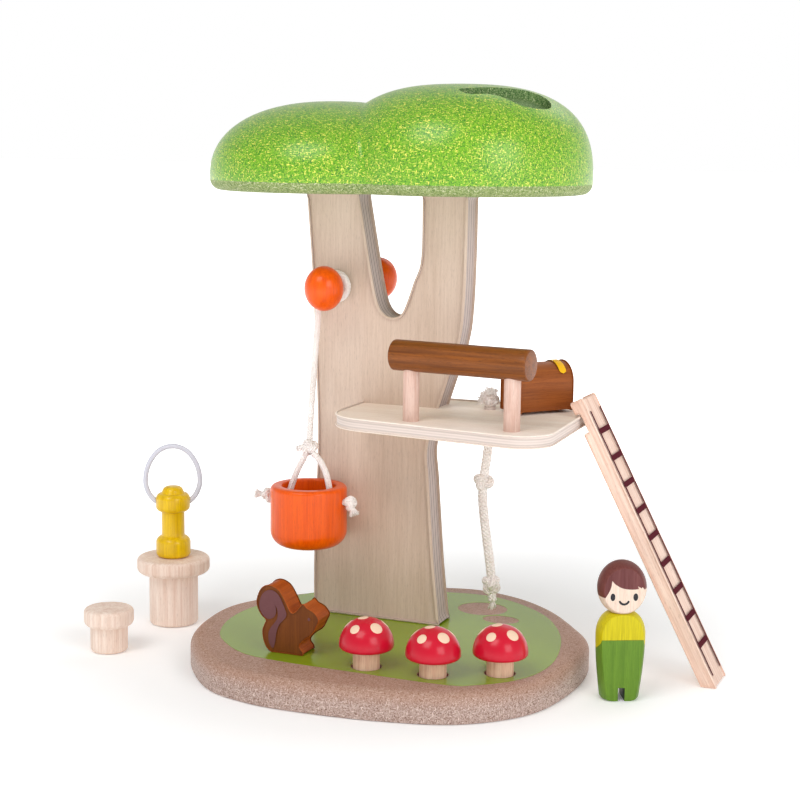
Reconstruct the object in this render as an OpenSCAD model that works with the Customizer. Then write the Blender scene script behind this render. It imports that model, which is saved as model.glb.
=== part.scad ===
// Wooden tree-house play set.
// Origin: on the floor under the middle of the trunk. +X to the right along the trunk panel,
// +Y to the back, +Z up. Millimetres.

/* [Base] */
// Thickness of the base board
base_t = 16; // [14:0.5:20]
// Height over which the top edge of the base is rounded
base_round = 6; // [4:0.5:8]
// Diameter of the three mushroom holes
hole_d = 15.8; // [15:0.1:17]
// Depth of the mushroom holes
hole_depth = 10; // [8:0.5:12]

/* [Trunk] */
// Thickness of the trunk panel
trunk_t = 18; // [17:0.5:18]
// Height of the underside of the canopy above the floor
trunk_top = 256; // [250:1:262]

/* [Canopy] */
// Top of the left lobe above the floor
left_top = 305; // [300:1:312]
// Top of the right lobe above the floor
right_top = 314.5; // [308:0.5:322]
// Radius of each lobe
lobe_r = 70.5; // [66:0.5:74]
// Depth of the leaf-shaped recess
leaf_depth = 5; // [3:0.5:7]

/* [Platform] */
// Height of the platform's top face
platform_z = 140; // [138:0.5:142]
// Thickness of the platform
platform_t = 7; // [6:0.5:8]
// Diameter of the two rail posts
post_d = 8.6; // [8:0.2:10]
// Height of the rail log's axis above the platform
log_rise = 33.3; // [30:0.1:36]
// Diameter of the rail log
log_d = 16.3; // [15:0.1:18]
// Length of the rail log
log_len = 78.4; // [76:0.2:84]

/* [Pulley] */
// Height of the pulley axle
axle_z = 203.8; // [202:0.2:206]
// Diameter of the pulley axle
axle_d = 6; // [5:0.5:6]
// Radius of the egg-shaped wooden knobs
knob_r = 10.7; // [10:0.1:10.9]
// Length of the knobs along their long axis
knob_len = 24.6; // [22:0.2:25]
// Outer radius of the rope wound on the axle
coil_r = 9.3; // [8.5:0.1:9.4]

/* [Bucket] */
// Outer diameter of the bucket
bucket_d = 42.5; // [40:0.5:42.5]
// Diameter of the bucket's hollow
bucket_bore = 30; // [29:0.5:31]
// Height of the bucket
bucket_h = 34.2; // [32:0.2:35]
// Height of the bucket's underside above the floor at rest
bucket_z = 60.8; // [60:0.2:63]
// Diameter of the thin bucket cord
line_d = 3.6; // [3:0.1:3.8]

/* [Climbing rope] */
// Diameter of the climbing rope
rope_d = 5.3; // [5:0.1:5.8]

/* [Ladder] */
// Lean of the ladder away from upright, in degrees
ladder_lean = 27.4; // [27.2:0.1:27.6]
// Width of the ladder bar
ladder_w = 24.5; // [22:0.5:25]
// Thickness of the ladder bar
ladder_t = 8.1; // [7.8:0.1:8.4]
// Distance along X from the trunk's centre to the ladder's outer edge on the floor
ladder_foot = 195; // [194.9:0.1:195.4]

/* [Small pieces] */
// Diameter of the mushroom caps
cap_d = 28.5; // [26:0.5:30]
// Diameter of the mushroom stems
stem_d = 14; // [13:0.1:14.4]
// Thickness of the squirrel
squirrel_t = 15; // [12:0.5:15]
// Height of the stump table
table_h = 40; // [38:0.5:42]
// Height of the stool
stool_h = 24.5; // [23:0.5:26]
// Height of the doll's egg-shaped head before it is cut flat below
head_h = 28.5; // [27:0.5:30]
// Width of the doll's head before its face is cut flat
head_w = 25.4; // [23:0.2:26]
// Thickness of the doll from front to back
doll_t = 14; // [12:0.5:18]

/* [Hidden] */
$fn = 64;
eps = 0.01;
fit = 0.05;

// Where things stand, in plan
mushroom_at = [[30, -91.8], [66.3, -90.6], [96.8, -74.5]];
// How far each mushroom stands short of the bottom of its push-in depth
mushroom_up = [0.9, 0, 0.5];
axle_x = -24.2;
screw_x = 22;
dowel_x = [-27, 38];
lobe_left = [-30, 2];
lobe_right = [42.5, 7.5];
post_at = [[37.6, -52.7], [95.4, -59.6]];
log_turn = -6.8;
bucket_at = [-31, -31.8];
rope_at = [62.5, 2];
chest_at = [85.3, -13.6];
chest_turn = 50.6;
table_at = [-127.9, -12.6];
stool_at = [-133.1, -76.4];
doll_at = [150.1, -39.5];
doll_turn = 26;

// Heights that other pieces share
platform_under = platform_z - platform_t;
handle_z = bucket_z + 26.2;
line_knot_at = [-31, -31.1, 116];
doll_h = 73;
neck_z = 46;

// ---- curves ----

function catmull(a, b, c, d, t) =
    0.5 * (2 * b + (c - a) * t + (2 * a - 5 * b + 4 * c - d) * t * t
    + (3 * b - a - 3 * c + d) * t * t * t);

// Smooth closed curve through the points, n steps for each span
function smooth_loop(p, n) = let (m = len(p))
    [for (i = [0:m - 1]) for (j = [0:n - 1])
        catmull(p[(i + m - 1) % m], p[i], p[(i + 1) % m], p[(i + 2) % m], j / n)];

// Smooth open curve through the points, ends included
function smooth_run(p, n) = let (m = len(p))
    concat([for (i = [0:m - 2]) for (j = [0:n - 1])
        catmull(p[max(i - 1, 0)], p[i], p[i + 1], p[min(i + 2, m - 1)], j / n)], [p[m - 1]]);

// Closed counter-clockwise curve moved inwards by d
function inset_loop(p, d) = let (m = len(p))
    [for (i = [0:m - 1])
        let (t = p[(i + 1) % m] - p[(i + m - 1) % m], n = [-t.y, t.x] / norm(t)) p[i] + d * n];

// Polygon with each corner replaced by an arc of its own radius
function round_corners(p, r, n) = let (m = len(p))
    [for (i = [0:m - 1])
        let (u = (p[(i + m - 1) % m] - p[i]) / norm(p[(i + m - 1) % m] - p[i]),
            v = (p[(i + 1) % m] - p[i]) / norm(p[(i + 1) % m] - p[i]),
            half = acos(u * v) / 2,
            c = p[i] + (u + v) / norm(u + v) * r[i] / sin(half),
            a0 = atan2(-v.x, v.y) , a1 = atan2(u.x, -u.y),
            s = p[i] + u * r[i] / tan(half) - c, e = p[i] + v * r[i] / tan(half) - c,
            b0 = atan2(s.y, s.x), b1 = atan2(e.y, e.x), sweep = b1 < b0 ? b1 + 360 - b0 : b1 - b0)
        for (k = [0:n]) c + r[i] * [cos(b0 + sweep * k / n), sin(b0 + sweep * k / n)]];

// Solid skin through rings that all have the same number of points, counter-clockwise from above
module skin(rings) {
    n = len(rings[0]);
    m = len(rings);
    points = [for (r = rings) for (p = r) p];
    sides = [for (k = [0:m - 2]) for (i = [0:n - 1])
        [k * n + i, (k + 1) * n + i, (k + 1) * n + (i + 1) % n, k * n + (i + 1) % n]];
    foot = [for (i = [0:n - 1]) i];
    roof = [for (i = [0:n - 1]) m * n - 1 - i];
    polyhedron(points, concat(sides, [foot, roof]), convexity = 6);
}

// Round cord along a hand-chosen route: one ring of `sides` points at each route point
module cord_tube(route, d, sides) {
    m = len(route);
    rings = [for (i = [0:m - 1])
        let (t0 = route[min(i + 1, m - 1)] - route[max(i - 1, 0)], t = t0 / norm(t0),
            a0 = cross([0, 1, 0], t), a = a0 / norm(a0), b = cross(t, a))
        [for (k = [0:sides - 1]) route[i] + d / 2 * (a * cos(360 * k / sides) + b * sin(360 * k / sides))]];
    n = sides;
    points = [for (r = rings) for (p = r) p];
    walls = [for (k = [0:m - 2]) for (i = [0:n - 1])
        [k * n + i, (k + 1) * n + i, (k + 1) * n + (i + 1) % n, k * n + (i + 1) % n]];
    polyhedron(points, concat(walls, [[for (i = [0:n - 1]) i], [for (i = [0:n - 1]) m * n - 1 - i]]));
}

// Half profile of a rounded disc or turned piece: radius r from z0 to z1, edges rounded by e
function disc_profile(r, z0, z1, e0, e1) = concat([[0, z0]],
    [for (a = [-90:15:0]) [r - e0 + e0 * cos(a), z0 + e0 + e0 * sin(a)]],
    [for (a = [0:15:90]) [r - e1 + e1 * cos(a), z1 - e1 + e1 * sin(a)]], [[0, z1]]);

module turned(r, z0, z1, e0, e1) rotate_extrude() polygon(disc_profile(r, z0, z1, e0, e1));

module along_y(at, y0, y1) translate([at.x, y1, at.y]) rotate([90, 0, 0]) linear_extrude(y1 - y0) children();

// ---- base ----

base_outline = smooth_loop([
    [10, -129], [52, -125], [90, -113], [117.5, -84], [126.5, -40], [123, 0], [107.5, 27],
    [84, 55], [56, 73], [24, 78], [-20, 60], [-64, 25], [-87.5, -8], [-90.5, -40], [-80.5, -78], [-52, -114],
    [-22, -127]], 5);

module base_board() color("#b69282") difference() {
    union() {
        linear_extrude(base_t - base_round) polygon(base_outline);
        skin([for (a = [0:15:90]) let (d = base_round * (1 - cos(a)), z = base_t - base_round * (1 - sin(a)))
            [for (p = inset_loop(base_outline, d)) [p.x, p.y, z]]]);
    }
    for (m = mushroom_at)
        translate([m.x, m.y, base_t - hole_depth]) cylinder(d = hole_d, h = hole_depth + 1);
    for (s = [-1, 1]) translate([s * screw_x, 0, -1]) {
        cylinder(d = 4.4, h = base_t + 2);
        cylinder(d = 9, h = 5);
    }
}

// ---- trunk ----

trunk_right = smooth_run([
    [38.5, base_t], [34.6, 52], [31.2, 96], [29.8, 114], [33, 128], [37, 141], [42.5, 158],
    [48.3, 177], [50.4, 196], [51.3, 226], [51.5, trunk_top]], 4);
trunk_notch = smooth_run([[25.2, trunk_top], [24.8, 221], [20.4, 207], [14.6, 191.5], [9.5, 188],
    [3.4, 189.6], [-0.9, 197], [-5.3, 217], [-12.4, trunk_top]], 4);
trunk_left = smooth_run([[-43.8, trunk_top], [-40.4, 213], [-38.4, 173], [-37, 139], [-36.6, 113],
    [-37.6, 80], [-38.6, 46], [-38.5, base_t]], 4);
lap_x = 15;

module trunk_panel() color("#ccb89e") difference() {
    along_y([0, 0], -trunk_t / 2, trunk_t / 2) polygon(concat(trunk_right, trunk_notch, trunk_left));
    translate([axle_x, -trunk_t, axle_z]) rotate([-90, 0, 0]) cylinder(r = axle_d / 2 + fit, h = 2 * trunk_t);
    translate([lap_x, -trunk_t, platform_under]) cube([60, 2 * trunk_t, platform_t]);
    for (s = [-1, 1]) translate([s * screw_x, 0, base_t - 1]) cylinder(d = 4, h = 31);
    for (x = dowel_x) translate([x, 0, trunk_top - 16]) cylinder(r = 4 + fit, h = 20);
}

module trunk_screws() color("silver") for (s = [-1, 1]) translate([s * screw_x, 0, 0]) {
    translate([0, 0, 1]) cylinder(d = 8, h = 3);
    translate([0, 0, 3.9]) cylinder(d = 3.9, h = 41);
}

// ---- canopy ----

// Dome of one lobe: a superellipse above the rim band, a rounded lower edge below it
module lobe(at, top, power) translate([at.x, at.y, 0]) rotate_extrude($fn = 96) {
    rim = 6;
    waist = trunk_top + rim + 1;
    polygon(concat([[0, trunk_top]],
        [for (a = [-90:18:0]) [lobe_r - rim + rim * cos(a), trunk_top + rim + rim * sin(a)]],
        [for (a = [4:4:88]) [lobe_r * pow(cos(a), 2 / power), waist + (top - waist) * pow(sin(a), 2 / power)]],
        [[0, top]]));
}

leaf_edge = [[52.5, -28], [56, -32.5], [60.5, -33.5], [65, -31], [70, -28], [76, -27], [82, -27], [88, -24.5],
    [93, -18.5], [96, -10.5], [95, -3.5], [91, 1.5], [85, 3.5], [79, 1.5], [74, -5], [69, -11], [64, -16.5],
    [58, -23]];

module canopy() color("#85b045") difference() {
    union() {
        lobe(lobe_left, left_top, 2.3);
        lobe(lobe_right, right_top, 2.7);
    }
    difference() {
        translate([0, 0, 270]) linear_extrude(60) polygon(smooth_loop(leaf_edge, 3));
        lobe_floor();
    }
    for (x = dowel_x) translate([x, 0, trunk_top - 1]) cylinder(r = 4 + fit, h = 17);
}

// Floor of the leaf recess: the right lobe sunk by the depth of the recess
module lobe_floor() translate([0, 0, -leaf_depth]) lobe(lobe_right, right_top, 2.7);

module canopy_dowels() color("#d8c3a0")
    for (x = dowel_x) translate([x, 0, trunk_top - 15.5]) cylinder(r = 4, h = 31);

// ---- platform and rail ----

platform_outline = round_corners([[-9.5, -61.6], [119.2, -80.6], [115.2, 24.5], [-9.5, 24.5]],
    [26, 18, 8, 8], 8);

module platform() color("#e4d2c2") difference() {
    translate([0, 0, platform_under]) linear_extrude(platform_t) polygon(platform_outline);
    translate([-20, -trunk_t / 2, platform_under - 1]) cube([20 + lap_x, trunk_t, platform_t + 2]);
    translate([rope_at.x, rope_at.y, platform_under - 1]) cylinder(d = rope_d + 0.8, h = platform_t + 2);
    for (p = post_at) translate([p.x, p.y, platform_z - 4]) cylinder(d = post_d, h = 10);
}

module rail_post(at) color("#e0c4b4")
    translate([at.x, at.y, platform_z - 4]) cylinder(d = post_d, h = log_rise + 1);

module rail_log() color("#8b5024") difference() {
    translate([(post_at[0].x + post_at[1].x) / 2 - 0.1, (post_at[0].y + post_at[1].y) / 2,
        platform_z + log_rise])
        rotate([0, 0, log_turn]) translate([-log_len / 2, 0, 0]) rotate([0, 90, 0])
            turned(log_d / 2, 0, log_len, 1.2, 1.2);
    for (p = post_at) translate([p.x, p.y, platform_z]) cylinder(d = post_d, h = log_rise - 3);
}

// ---- pulley ----

module at_axle(y) translate([axle_x, y, axle_z]) rotate([-90, 0, 0]) children();
knob_front_y = -27.6;
knob_back_y = 50;

module pulley_axle() color("#d8c3a0")
    at_axle(knob_front_y) cylinder(d = axle_d, h = knob_back_y - knob_front_y);

module knob(y) color("#e75f24") difference() {
    at_axle(y) rotate([90, 0, 0]) rotate_extrude() polygon(concat([[0, -knob_len / 2]],
        [for (a = [-84:6:84]) [knob_r * cos(a), knob_len / 2 * sin(a)]], [[0, knob_len / 2]]));
    at_axle(knob_front_y) cylinder(d = axle_d, h = knob_back_y - knob_front_y);
}

module rope_coil() color("#ece6dc") at_axle(-16.3) rotate_extrude()
    polygon(concat([[axle_d / 2, 0]], [for (a = [-90:15:90]) [coil_r - 1.8 + 1.8 * cos(a), 3.4 + 3.4 * sin(a)]],
        [[axle_d / 2, 6.8]]));

// ---- bucket on its cord ----

line_route = [[-33.4, -13.6, 196.6], [-33.3, -15, 190], [-33.1, -17.4, 178], [-32.9, -20, 166],
    [-32.6, -22.7, 154], [-32.2, -25.4, 142], [-31.7, -28.3, 130], [-31.3, -30.2, 121], [-31.1, -30.9, 117]];

module bucket_line() color("#ece6dc") cord_tube(line_route, line_d, 8);

module line_knot() color("#ece6dc") translate(line_knot_at) {
    turned(4.6, -5.5, 5, 3.5, 4);
    translate([-5.5, -0.6, -0.5]) sphere(2.6, $fn = 32);
}

// The left strand hangs straight and the right one bows outwards
strand_runs = [[[1.9, 112.5], [3.8, 108.5], [6, 104.5], [8, 100], [9.8, 95.5], [11.2, 91.5], [12.1, 88.5]],
    [[2.6, 112.9], [5.7, 110.2], [8.5, 106.3], [10.6, 101.8], [11.9, 96.8], [12.6, 92.6], [12.7, 88.5]]];

function strand_route(s) = [for (q = strand_runs[s < 0 ? 0 : 1]) [bucket_at.x + s * q[0], bucket_at.y, q[1]]];

module handle_strand(s) color("#ece6dc") cord_tube(strand_route(s), line_d, 8);

module handle_knot(s) color("#ece6dc") translate([bucket_at.x, bucket_at.y, handle_z]) rotate([0, s * 90, 0]) {
    translate([0, 0, bucket_bore / 2 + 0.1]) cylinder(d = line_d, h = 8);
    translate([0, 0, bucket_d / 2 + 3.5]) sphere(3.6, $fn = 40);
    translate([0, 0, bucket_d / 2 + 5]) rotate([0, -s * 40, 0]) cylinder(r1 = 1.8, r2 = 2.6, h = 4.5, $fn = 24);
}

module bucket() color("#f26a20") difference() {
    translate([bucket_at.x, bucket_at.y, 0]) difference() {
        turned(bucket_d / 2, bucket_z, bucket_z + bucket_h, 9, 2.4);
        translate([0, 0, bucket_z + 6]) cylinder(d = bucket_bore, h = bucket_h);
    }
    translate([bucket_at.x - 30, bucket_at.y, handle_z]) rotate([0, 90, 0])
        cylinder(d = line_d + 2 * fit, h = 60);
}

// ---- climbing rope ----

rope_route = [[62.5, 2, 132.4], [62.4, 2, 125], [61.9, 2, 118], [61, 2, 110], [60, 2, 103], [59.4, 2, 96],
    [59.2, 2, 89], [60.1, 2, 80], [61.5, 2, 70], [62.9, 2, 61], [64.1, 2, 53], [65, 2, 46], [65.2, 2, 40.5]];

module climbing_rope() color("#e6dccf") cord_tube(rope_route, rope_d, 10);

module rope_knot_top() color("#e6dccf") translate([rope_at.x, rope_at.y, 0]) {
    turned(5.2, platform_z, platform_z + 9.5, 3.5, 4.5);
    translate([0, 0, platform_under + 1]) cylinder(d = rope_d, h = platform_t);
}

module rope_knot_middle() color("#e6dccf") translate([59.5, 2, 98]) turned(6.3, -5, 5, 4.6, 4.6);

module rope_knot_end() color("#e6dccf") translate([65.2, 2, 40.5]) {
    turned(6.1, -5.5, 5.5, 5, 5);
    translate([0.6, 0, -14]) cylinder(r1 = 3.6, r2 = 2.6, h = 11, $fn = 32);
}

// ---- chest ----

chest_len = 34;
chest_w = 21.5;
chest_side_h = 15.5;
chest_lid_h = 11.3;

module chest() color("#8b5024") translate([chest_at.x, chest_at.y, platform_z]) rotate([0, 0, chest_turn])
    rotate([90, 0, 90]) linear_extrude(chest_len) polygon(concat([[0.8, 0], [chest_w - 0.8, 0], [chest_w, 0.8]],
        [for (a = [0:7.5:180]) [chest_w / 2 * (1 + cos(a)), chest_side_h + chest_lid_h * sin(a)]], [[0, 0.8]]));

// ---- ladder ----

// Side view of the leaning bar, drawn along its length u and across its thickness v,
// with the outer face at v = 0 and the floor end cut level
ladder_len = 169.2;
hook_from = 151.2;
hook_to = 162;
hook_depth = 3;
function ladder_xz(u, v) = [ladder_foot - u * sin(ladder_lean) - v * cos(ladder_lean),
    u * cos(ladder_lean) - v * sin(ladder_lean)];

module ladder() color("#dcbfae") along_y([0, 0], -6.8, -6.8 + ladder_w) {
    heel = ladder_t * tan(ladder_lean);
    polygon([for (q = [[0, 0], [ladder_len - 1.5, 0], [ladder_len, 1.5], [ladder_len, ladder_t - 1.5],
        [ladder_len - 1.5, ladder_t], [hook_to, ladder_t], [hook_to, ladder_t - hook_depth],
        [hook_from, ladder_t - hook_depth], [hook_from, ladder_t], [heel, ladder_t]]) ladder_xz(q[0], q[1])]);
}

// ---- mushrooms ----

cap_z = base_t + 8.9;
cap_h = 16.3;

module mushroom_stem(i) color("#dcbfa0") translate([mushroom_at[i].x, mushroom_at[i].y, mushroom_up[i]])
    turned(stem_d / 2, base_t - hole_depth + 0.4, cap_z + 4, 1, 0.5);

module mushroom_cap(i) color("#c4263a")
    translate([mushroom_at[i].x, mushroom_at[i].y, cap_z + mushroom_up[i]]) difference() {
        rotate_extrude() polygon(concat([[0, 0], [cap_d / 2 - 2.6, 0]],
            [for (a = [-60:20:0]) [cap_d / 2 - 2 + 2 * cos(a), 2 + 2 * sin(a)]],
            [for (a = [7.5:7.5:82.5]) [cap_d / 2 * cos(a), 2 + (cap_h - 2) * sin(a)]], [[0, cap_h]]));
        translate([0, 0, -1]) cylinder(d = stem_d, h = 5);
    }

// ---- squirrel ----

squirrel_y = -90;
squirrel_outline = [for (p = smooth_loop([[-34.2, 43.9], [-31.5, 50.2], [-26.6, 52.5], [-21, 50.3], [-17.3, 45],
    [-14.2, 39.4], [-11.8, 39.4], [-8.9, 42.7], [-7, 44.4], [-4.6, 42.4], [-0.6, 40.4], [2, 36.7], [0.6, 32.8],
    [-1.8, 28.4], [-6, 25.2], [-9, 21.4], [-7, 18], [-8, base_t], [-17, base_t], [-25.4, base_t], [-29.4, 20],
    [-30.9, 26.6], [-29.6, 31], [-28.9, 33.2], [-31.6, 35.8], [-33.6, 39.4]], 4)) [p.x, max(p.y, base_t)]];

module squirrel() color("#6e4020")
    along_y([0, 0], squirrel_y, squirrel_y + squirrel_t) polygon(squirrel_outline);

// ---- stump table, stool and lantern ----

module stump_leg() color("#dcc6ba") translate([table_at.x, table_at.y, 0])
    turned(14.3, 0, table_h - 6, 2, 0.4);

module stump_top() color("#dcc6ba") translate([table_at.x, table_at.y, 0]) difference() {
    turned(21.3, table_h - 9.3, table_h, 3.4, 2.2);
    translate([0, 0, table_h - 9.8]) cylinder(r = 14.3, h = 3.8);
}

module stool_leg() color("#dcc6ba") translate([stool_at.x, stool_at.y, 0])
    turned(10.4, 0, stool_h - 5, 1.8, 0.4);

module stool_seat() color("#dcc6ba") translate([stool_at.x, stool_at.y, 0]) difference() {
    turned(13.8, stool_h - 10, stool_h, 3, 2.2);
    translate([0, 0, stool_h - 10.5]) cylinder(r = 10.4, h = 5.5);
}

// The cord loop is round below its widest height and taller above it: side arcs, then a smaller top arc
loop_cord = 1.5;
loop_z = 45.5;
loop_r = 15.8;
loop_side_r = 24.3;
loop_side_to = 39.77;
loop_top_r = 13.241;
loop_turn = 28;
loop_end = -64;

module loop_arc(x, z, radius, from, to, r) translate([x, 0, z]) rotate([90, 0, 0]) rotate([0, 0, from])
    rotate_extrude(angle = to - from, $fn = 72) translate([radius, 0]) circle(r, $fn = 24);

module loop_ends(end, r) {
    loop_arc(0, loop_z, loop_r, end, 0, r);
    loop_arc(0, loop_z, loop_r, 180, 180 - end, r);
}

module lantern_post() color("#e0b627")
    translate([table_at.x, table_at.y, table_h]) rotate([0, 0, loop_turn]) difference() {
        rotate_extrude() polygon(concat([[0, 0]],
            [for (a = [-90:15:0]) [8.2 + 2 * cos(a), 2 + 2 * sin(a)]],
            [for (a = [0:15:90]) [6.8 + 3.4 * cos(a), 8.8 + 3.4 * sin(a)]],
            [[6.9, 12.5], [6.7, 13.6], [6.7, 26.3], [6.9, 27.4]],
            [for (a = [-75:15:0]) [7.2 + 2.8 * cos(a), 30.2 + 2.8 * sin(a)]],
            [for (a = [0:15:75]) [6.8 + 3.2 * cos(a), 35 + 3.2 * sin(a)]],
            [[6.3, 38.3]],
            [for (a = [15:15:75]) [2.8 + 3.4 * cos(a), 38.7 + 3.3 * sin(a)]], [[0, 42]]));
        loop_ends(loop_end - 2, loop_cord + fit);
    }

module lantern_loop() color("#f2f2f4") translate([table_at.x, table_at.y, table_h]) rotate([0, 0, loop_turn]) {
    out = loop_side_r - loop_r;
    loop_ends(loop_end, loop_cord);
    loop_arc(-out, loop_z, loop_side_r, 0, loop_side_to, loop_cord);
    loop_arc(out, loop_z, loop_side_r, 180 - loop_side_to, 180, loop_cord);
    loop_arc(0, loop_z + out * tan(loop_side_to), loop_top_r, loop_side_to, 180 - loop_side_to, loop_cord);
}

// ---- doll ----

module doll_frame() translate([doll_at.x, doll_at.y, 0]) rotate([0, 0, doll_turn]) children();

module doll_body() color("#6f8b39") doll_frame() difference() {
    intersection() {
        rotate_extrude() polygon(concat([[0, 0], [9.4, 0], [10.2, 0.8]],
            [for (a = [0:10:80]) [4.3 + 8.5 * cos(a), neck_z - 12 + 12 * sin(a)]], [[0, neck_z]]));
        translate([-20, -doll_t / 2, -1]) cube([40, doll_t, 60]);
    }
    translate([-1.5, -20, -1]) cube([3, 40, 7.5]);
    translate([0, 0, neck_z - 8]) cylinder(r = 2, h = 20);
}

module doll_head() color("#dec4b6") doll_frame() difference() {
    intersection() {
        translate([0, 0, doll_h - head_h / 2]) rotate_extrude() polygon(concat([[0, -head_h / 2]],
            [for (a = [-84:6:84]) [head_w / 2 * cos(a), head_h / 2 * sin(a)]], [[0, head_h / 2]]));
        translate([-20, -doll_t / 2, neck_z]) cube([40, doll_t, 60]);
    }
    translate([0, 0, neck_z - 1]) cylinder(r = 2 + fit, h = 8);
}

module doll_neck_pin() color("#d8c3a0") doll_frame() translate([0, 0, neck_z - 8]) cylinder(r = 2, h = 14);

base_board();
trunk_panel();
trunk_screws();
canopy();
canopy_dowels();
platform();
rail_post(post_at[0]);  // rail_post_left
rail_post(post_at[1]);  // rail_post_right
rail_log();
pulley_axle();
knob(knob_front_y);  // knob_front
knob(knob_back_y);  // knob_back
rope_coil();
bucket_line();
line_knot();
handle_strand(-1);  // handle_strand_left
handle_strand(1);  // handle_strand_right
handle_knot(-1);  // handle_knot_left
handle_knot(1);  // handle_knot_right
bucket();
climbing_rope();
rope_knot_top();
rope_knot_middle();
rope_knot_end();
chest();
ladder();
mushroom_cap(0);  // mushroom_cap_1
mushroom_cap(1);  // mushroom_cap_2
mushroom_cap(2);  // mushroom_cap_3
mushroom_stem(0);  // mushroom_stem_1
mushroom_stem(1);  // mushroom_stem_2
mushroom_stem(2);  // mushroom_stem_3
squirrel();
stump_top();
stump_leg();
stool_seat();
stool_leg();
lantern_post();
lantern_loop();
doll_body();
doll_head();
doll_neck_pin();
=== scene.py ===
"""Looks of a wooden tree-house play set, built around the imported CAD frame. Lengths are in millimetres."""

import random
from math import acos, atan2, cos, degrees, hypot, pi, radians, sin, sqrt, tan

import bpy
import numpy as np
from mathutils import Matrix, Vector


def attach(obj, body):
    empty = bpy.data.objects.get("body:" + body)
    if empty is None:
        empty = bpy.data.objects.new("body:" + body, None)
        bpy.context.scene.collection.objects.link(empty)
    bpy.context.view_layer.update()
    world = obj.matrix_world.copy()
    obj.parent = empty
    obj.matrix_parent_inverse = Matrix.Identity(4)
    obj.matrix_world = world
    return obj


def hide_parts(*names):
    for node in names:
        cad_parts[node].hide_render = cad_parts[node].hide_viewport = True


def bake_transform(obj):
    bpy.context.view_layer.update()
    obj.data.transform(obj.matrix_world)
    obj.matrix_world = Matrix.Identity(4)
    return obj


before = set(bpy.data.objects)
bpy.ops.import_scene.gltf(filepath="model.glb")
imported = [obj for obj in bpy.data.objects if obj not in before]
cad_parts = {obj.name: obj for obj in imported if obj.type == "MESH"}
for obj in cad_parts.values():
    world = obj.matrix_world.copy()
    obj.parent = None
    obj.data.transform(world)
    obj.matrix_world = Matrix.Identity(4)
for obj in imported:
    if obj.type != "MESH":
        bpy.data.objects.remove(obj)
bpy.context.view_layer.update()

MM = 0.001
TAU = 2 * pi
rng = random.Random(7)

# Drawn in XY and stood up: y becomes the height, and the thickness runs along Y or along X
UPRIGHT = Matrix(((1, 0, 0, 0), (0, 0, -1, 0), (0, 1, 0, 0), (0, 0, 0, 1)))
SIDEWAYS = Matrix(((0, 0, 1, 0), (1, 0, 0, 0), (0, 1, 0, 0), (0, 0, 0, 1)))


# ---- curves and outlines ----


def spline(p, first, last, steps):
    """Catmull-Rom curve between two numbered points of a list that wraps round."""
    out = []
    for i in range(first, last):
        a, b, c, d = (p[k % len(p)] for k in range(i - 1, i + 3))
        for t in np.arange(steps) / steps:
            out.append(0.5 * (2 * b + (c - a) * t + (2 * a - 5 * b + 4 * c - d) * t**2
                              + (3 * b - a - 3 * c + d) * t**3))
    return out


def smooth_loop(points, steps):
    """Closed smooth curve through the points."""
    return np.array(spline(np.array(points, float), 0, len(points), steps))


def smooth_run(points, steps):
    """Open smooth curve through the points, ends included."""
    p = np.array(points, float)
    p = np.vstack([2 * p[0] - p[1], p, 2 * p[-1] - p[-2]])
    return np.array(spline(p, 1, len(p) - 2, steps) + [p[-2]])


def lengths(p):
    """Length along a line at each of its points."""
    return np.concatenate([[0], np.cumsum(np.linalg.norm(np.diff(p, axis=0), axis=1))])


def even(points, step):
    """The line again with points about step apart."""
    p = np.array(points, float)
    along = lengths(p)
    marks = np.linspace(0, along[-1], max(3, round(along[-1] / step) + 1))
    return np.stack([np.interp(marks, along, p[:, k]) for k in range(p.shape[1])], axis=1)


def arc(centre, radius, start, end, steps):
    """Points on an arc in a plane, angles in degrees. An oval arc has a pair of radii."""
    rx, ry = radius if isinstance(radius, tuple) else (radius, radius)
    return [(centre[0] + rx * cos(a), centre[1] + ry * sin(a))
            for a in np.radians(np.linspace(start, end, steps + 1))]


def ellipse(x, y, rx, ry, steps=40):
    """Points round an ellipse."""
    return arc((x, y), (rx, ry), 0, 360, steps)[:-1]


def round_corners(corners, radii, steps=8):
    """Counter-clockwise polygon whose corners are arcs."""
    out = []
    for i, (corner, radius) in enumerate(zip(corners, radii)):
        if radius <= 0:
            out.append(corner)
            continue
        p, a, b = (Vector(q) for q in (corner, corners[i - 1], corners[(i + 1) % len(corners)]))
        u, v = (a - p).normalized(), (b - p).normalized()
        half = acos(max(-1, min(1, u.dot(v)))) / 2
        centre = p + (u + v).normalized() * radius / sin(half)
        start, end = (p + side * radius / tan(half) - centre for side in (u, v))
        a0, a1 = atan2(start.y, start.x), atan2(end.y, end.x)
        turn = (a1 - a0 + pi) % TAU - pi
        for k in range(steps + 1):
            a = a0 + turn * k / steps
            out.append(tuple(centre + radius * Vector((cos(a), sin(a)))))
    return out


def unit(rows):
    """The rows of an array, each brought to length 1."""
    return rows / np.maximum(np.linalg.norm(rows, axis=1), 1e-9)[:, None]


def inset(outline, distance):
    """Counter-clockwise closed outline moved inwards."""
    p = np.array(outline, float)
    t = np.roll(p, -1, axis=0) - np.roll(p, 1, axis=0)
    return p + distance * unit(np.stack([-t[:, 1], t[:, 0]], axis=1))


# ---- meshes ----


def place(point, turn=0.0, axis="Z"):
    """Matrix that turns a shape about an axis in degrees, and then moves it to a point."""
    return Matrix.Translation(point) @ Matrix.Rotation(radians(turn), 4, axis)


def in_metres(matrix):
    """The same placing with its move in metres."""
    out = matrix.copy()
    out.translation = out.translation * MM
    return out


def linked(name, data):
    """New object in the scene."""
    obj = bpy.data.objects.new(name, data)
    bpy.context.scene.collection.objects.link(obj)
    return obj


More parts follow.
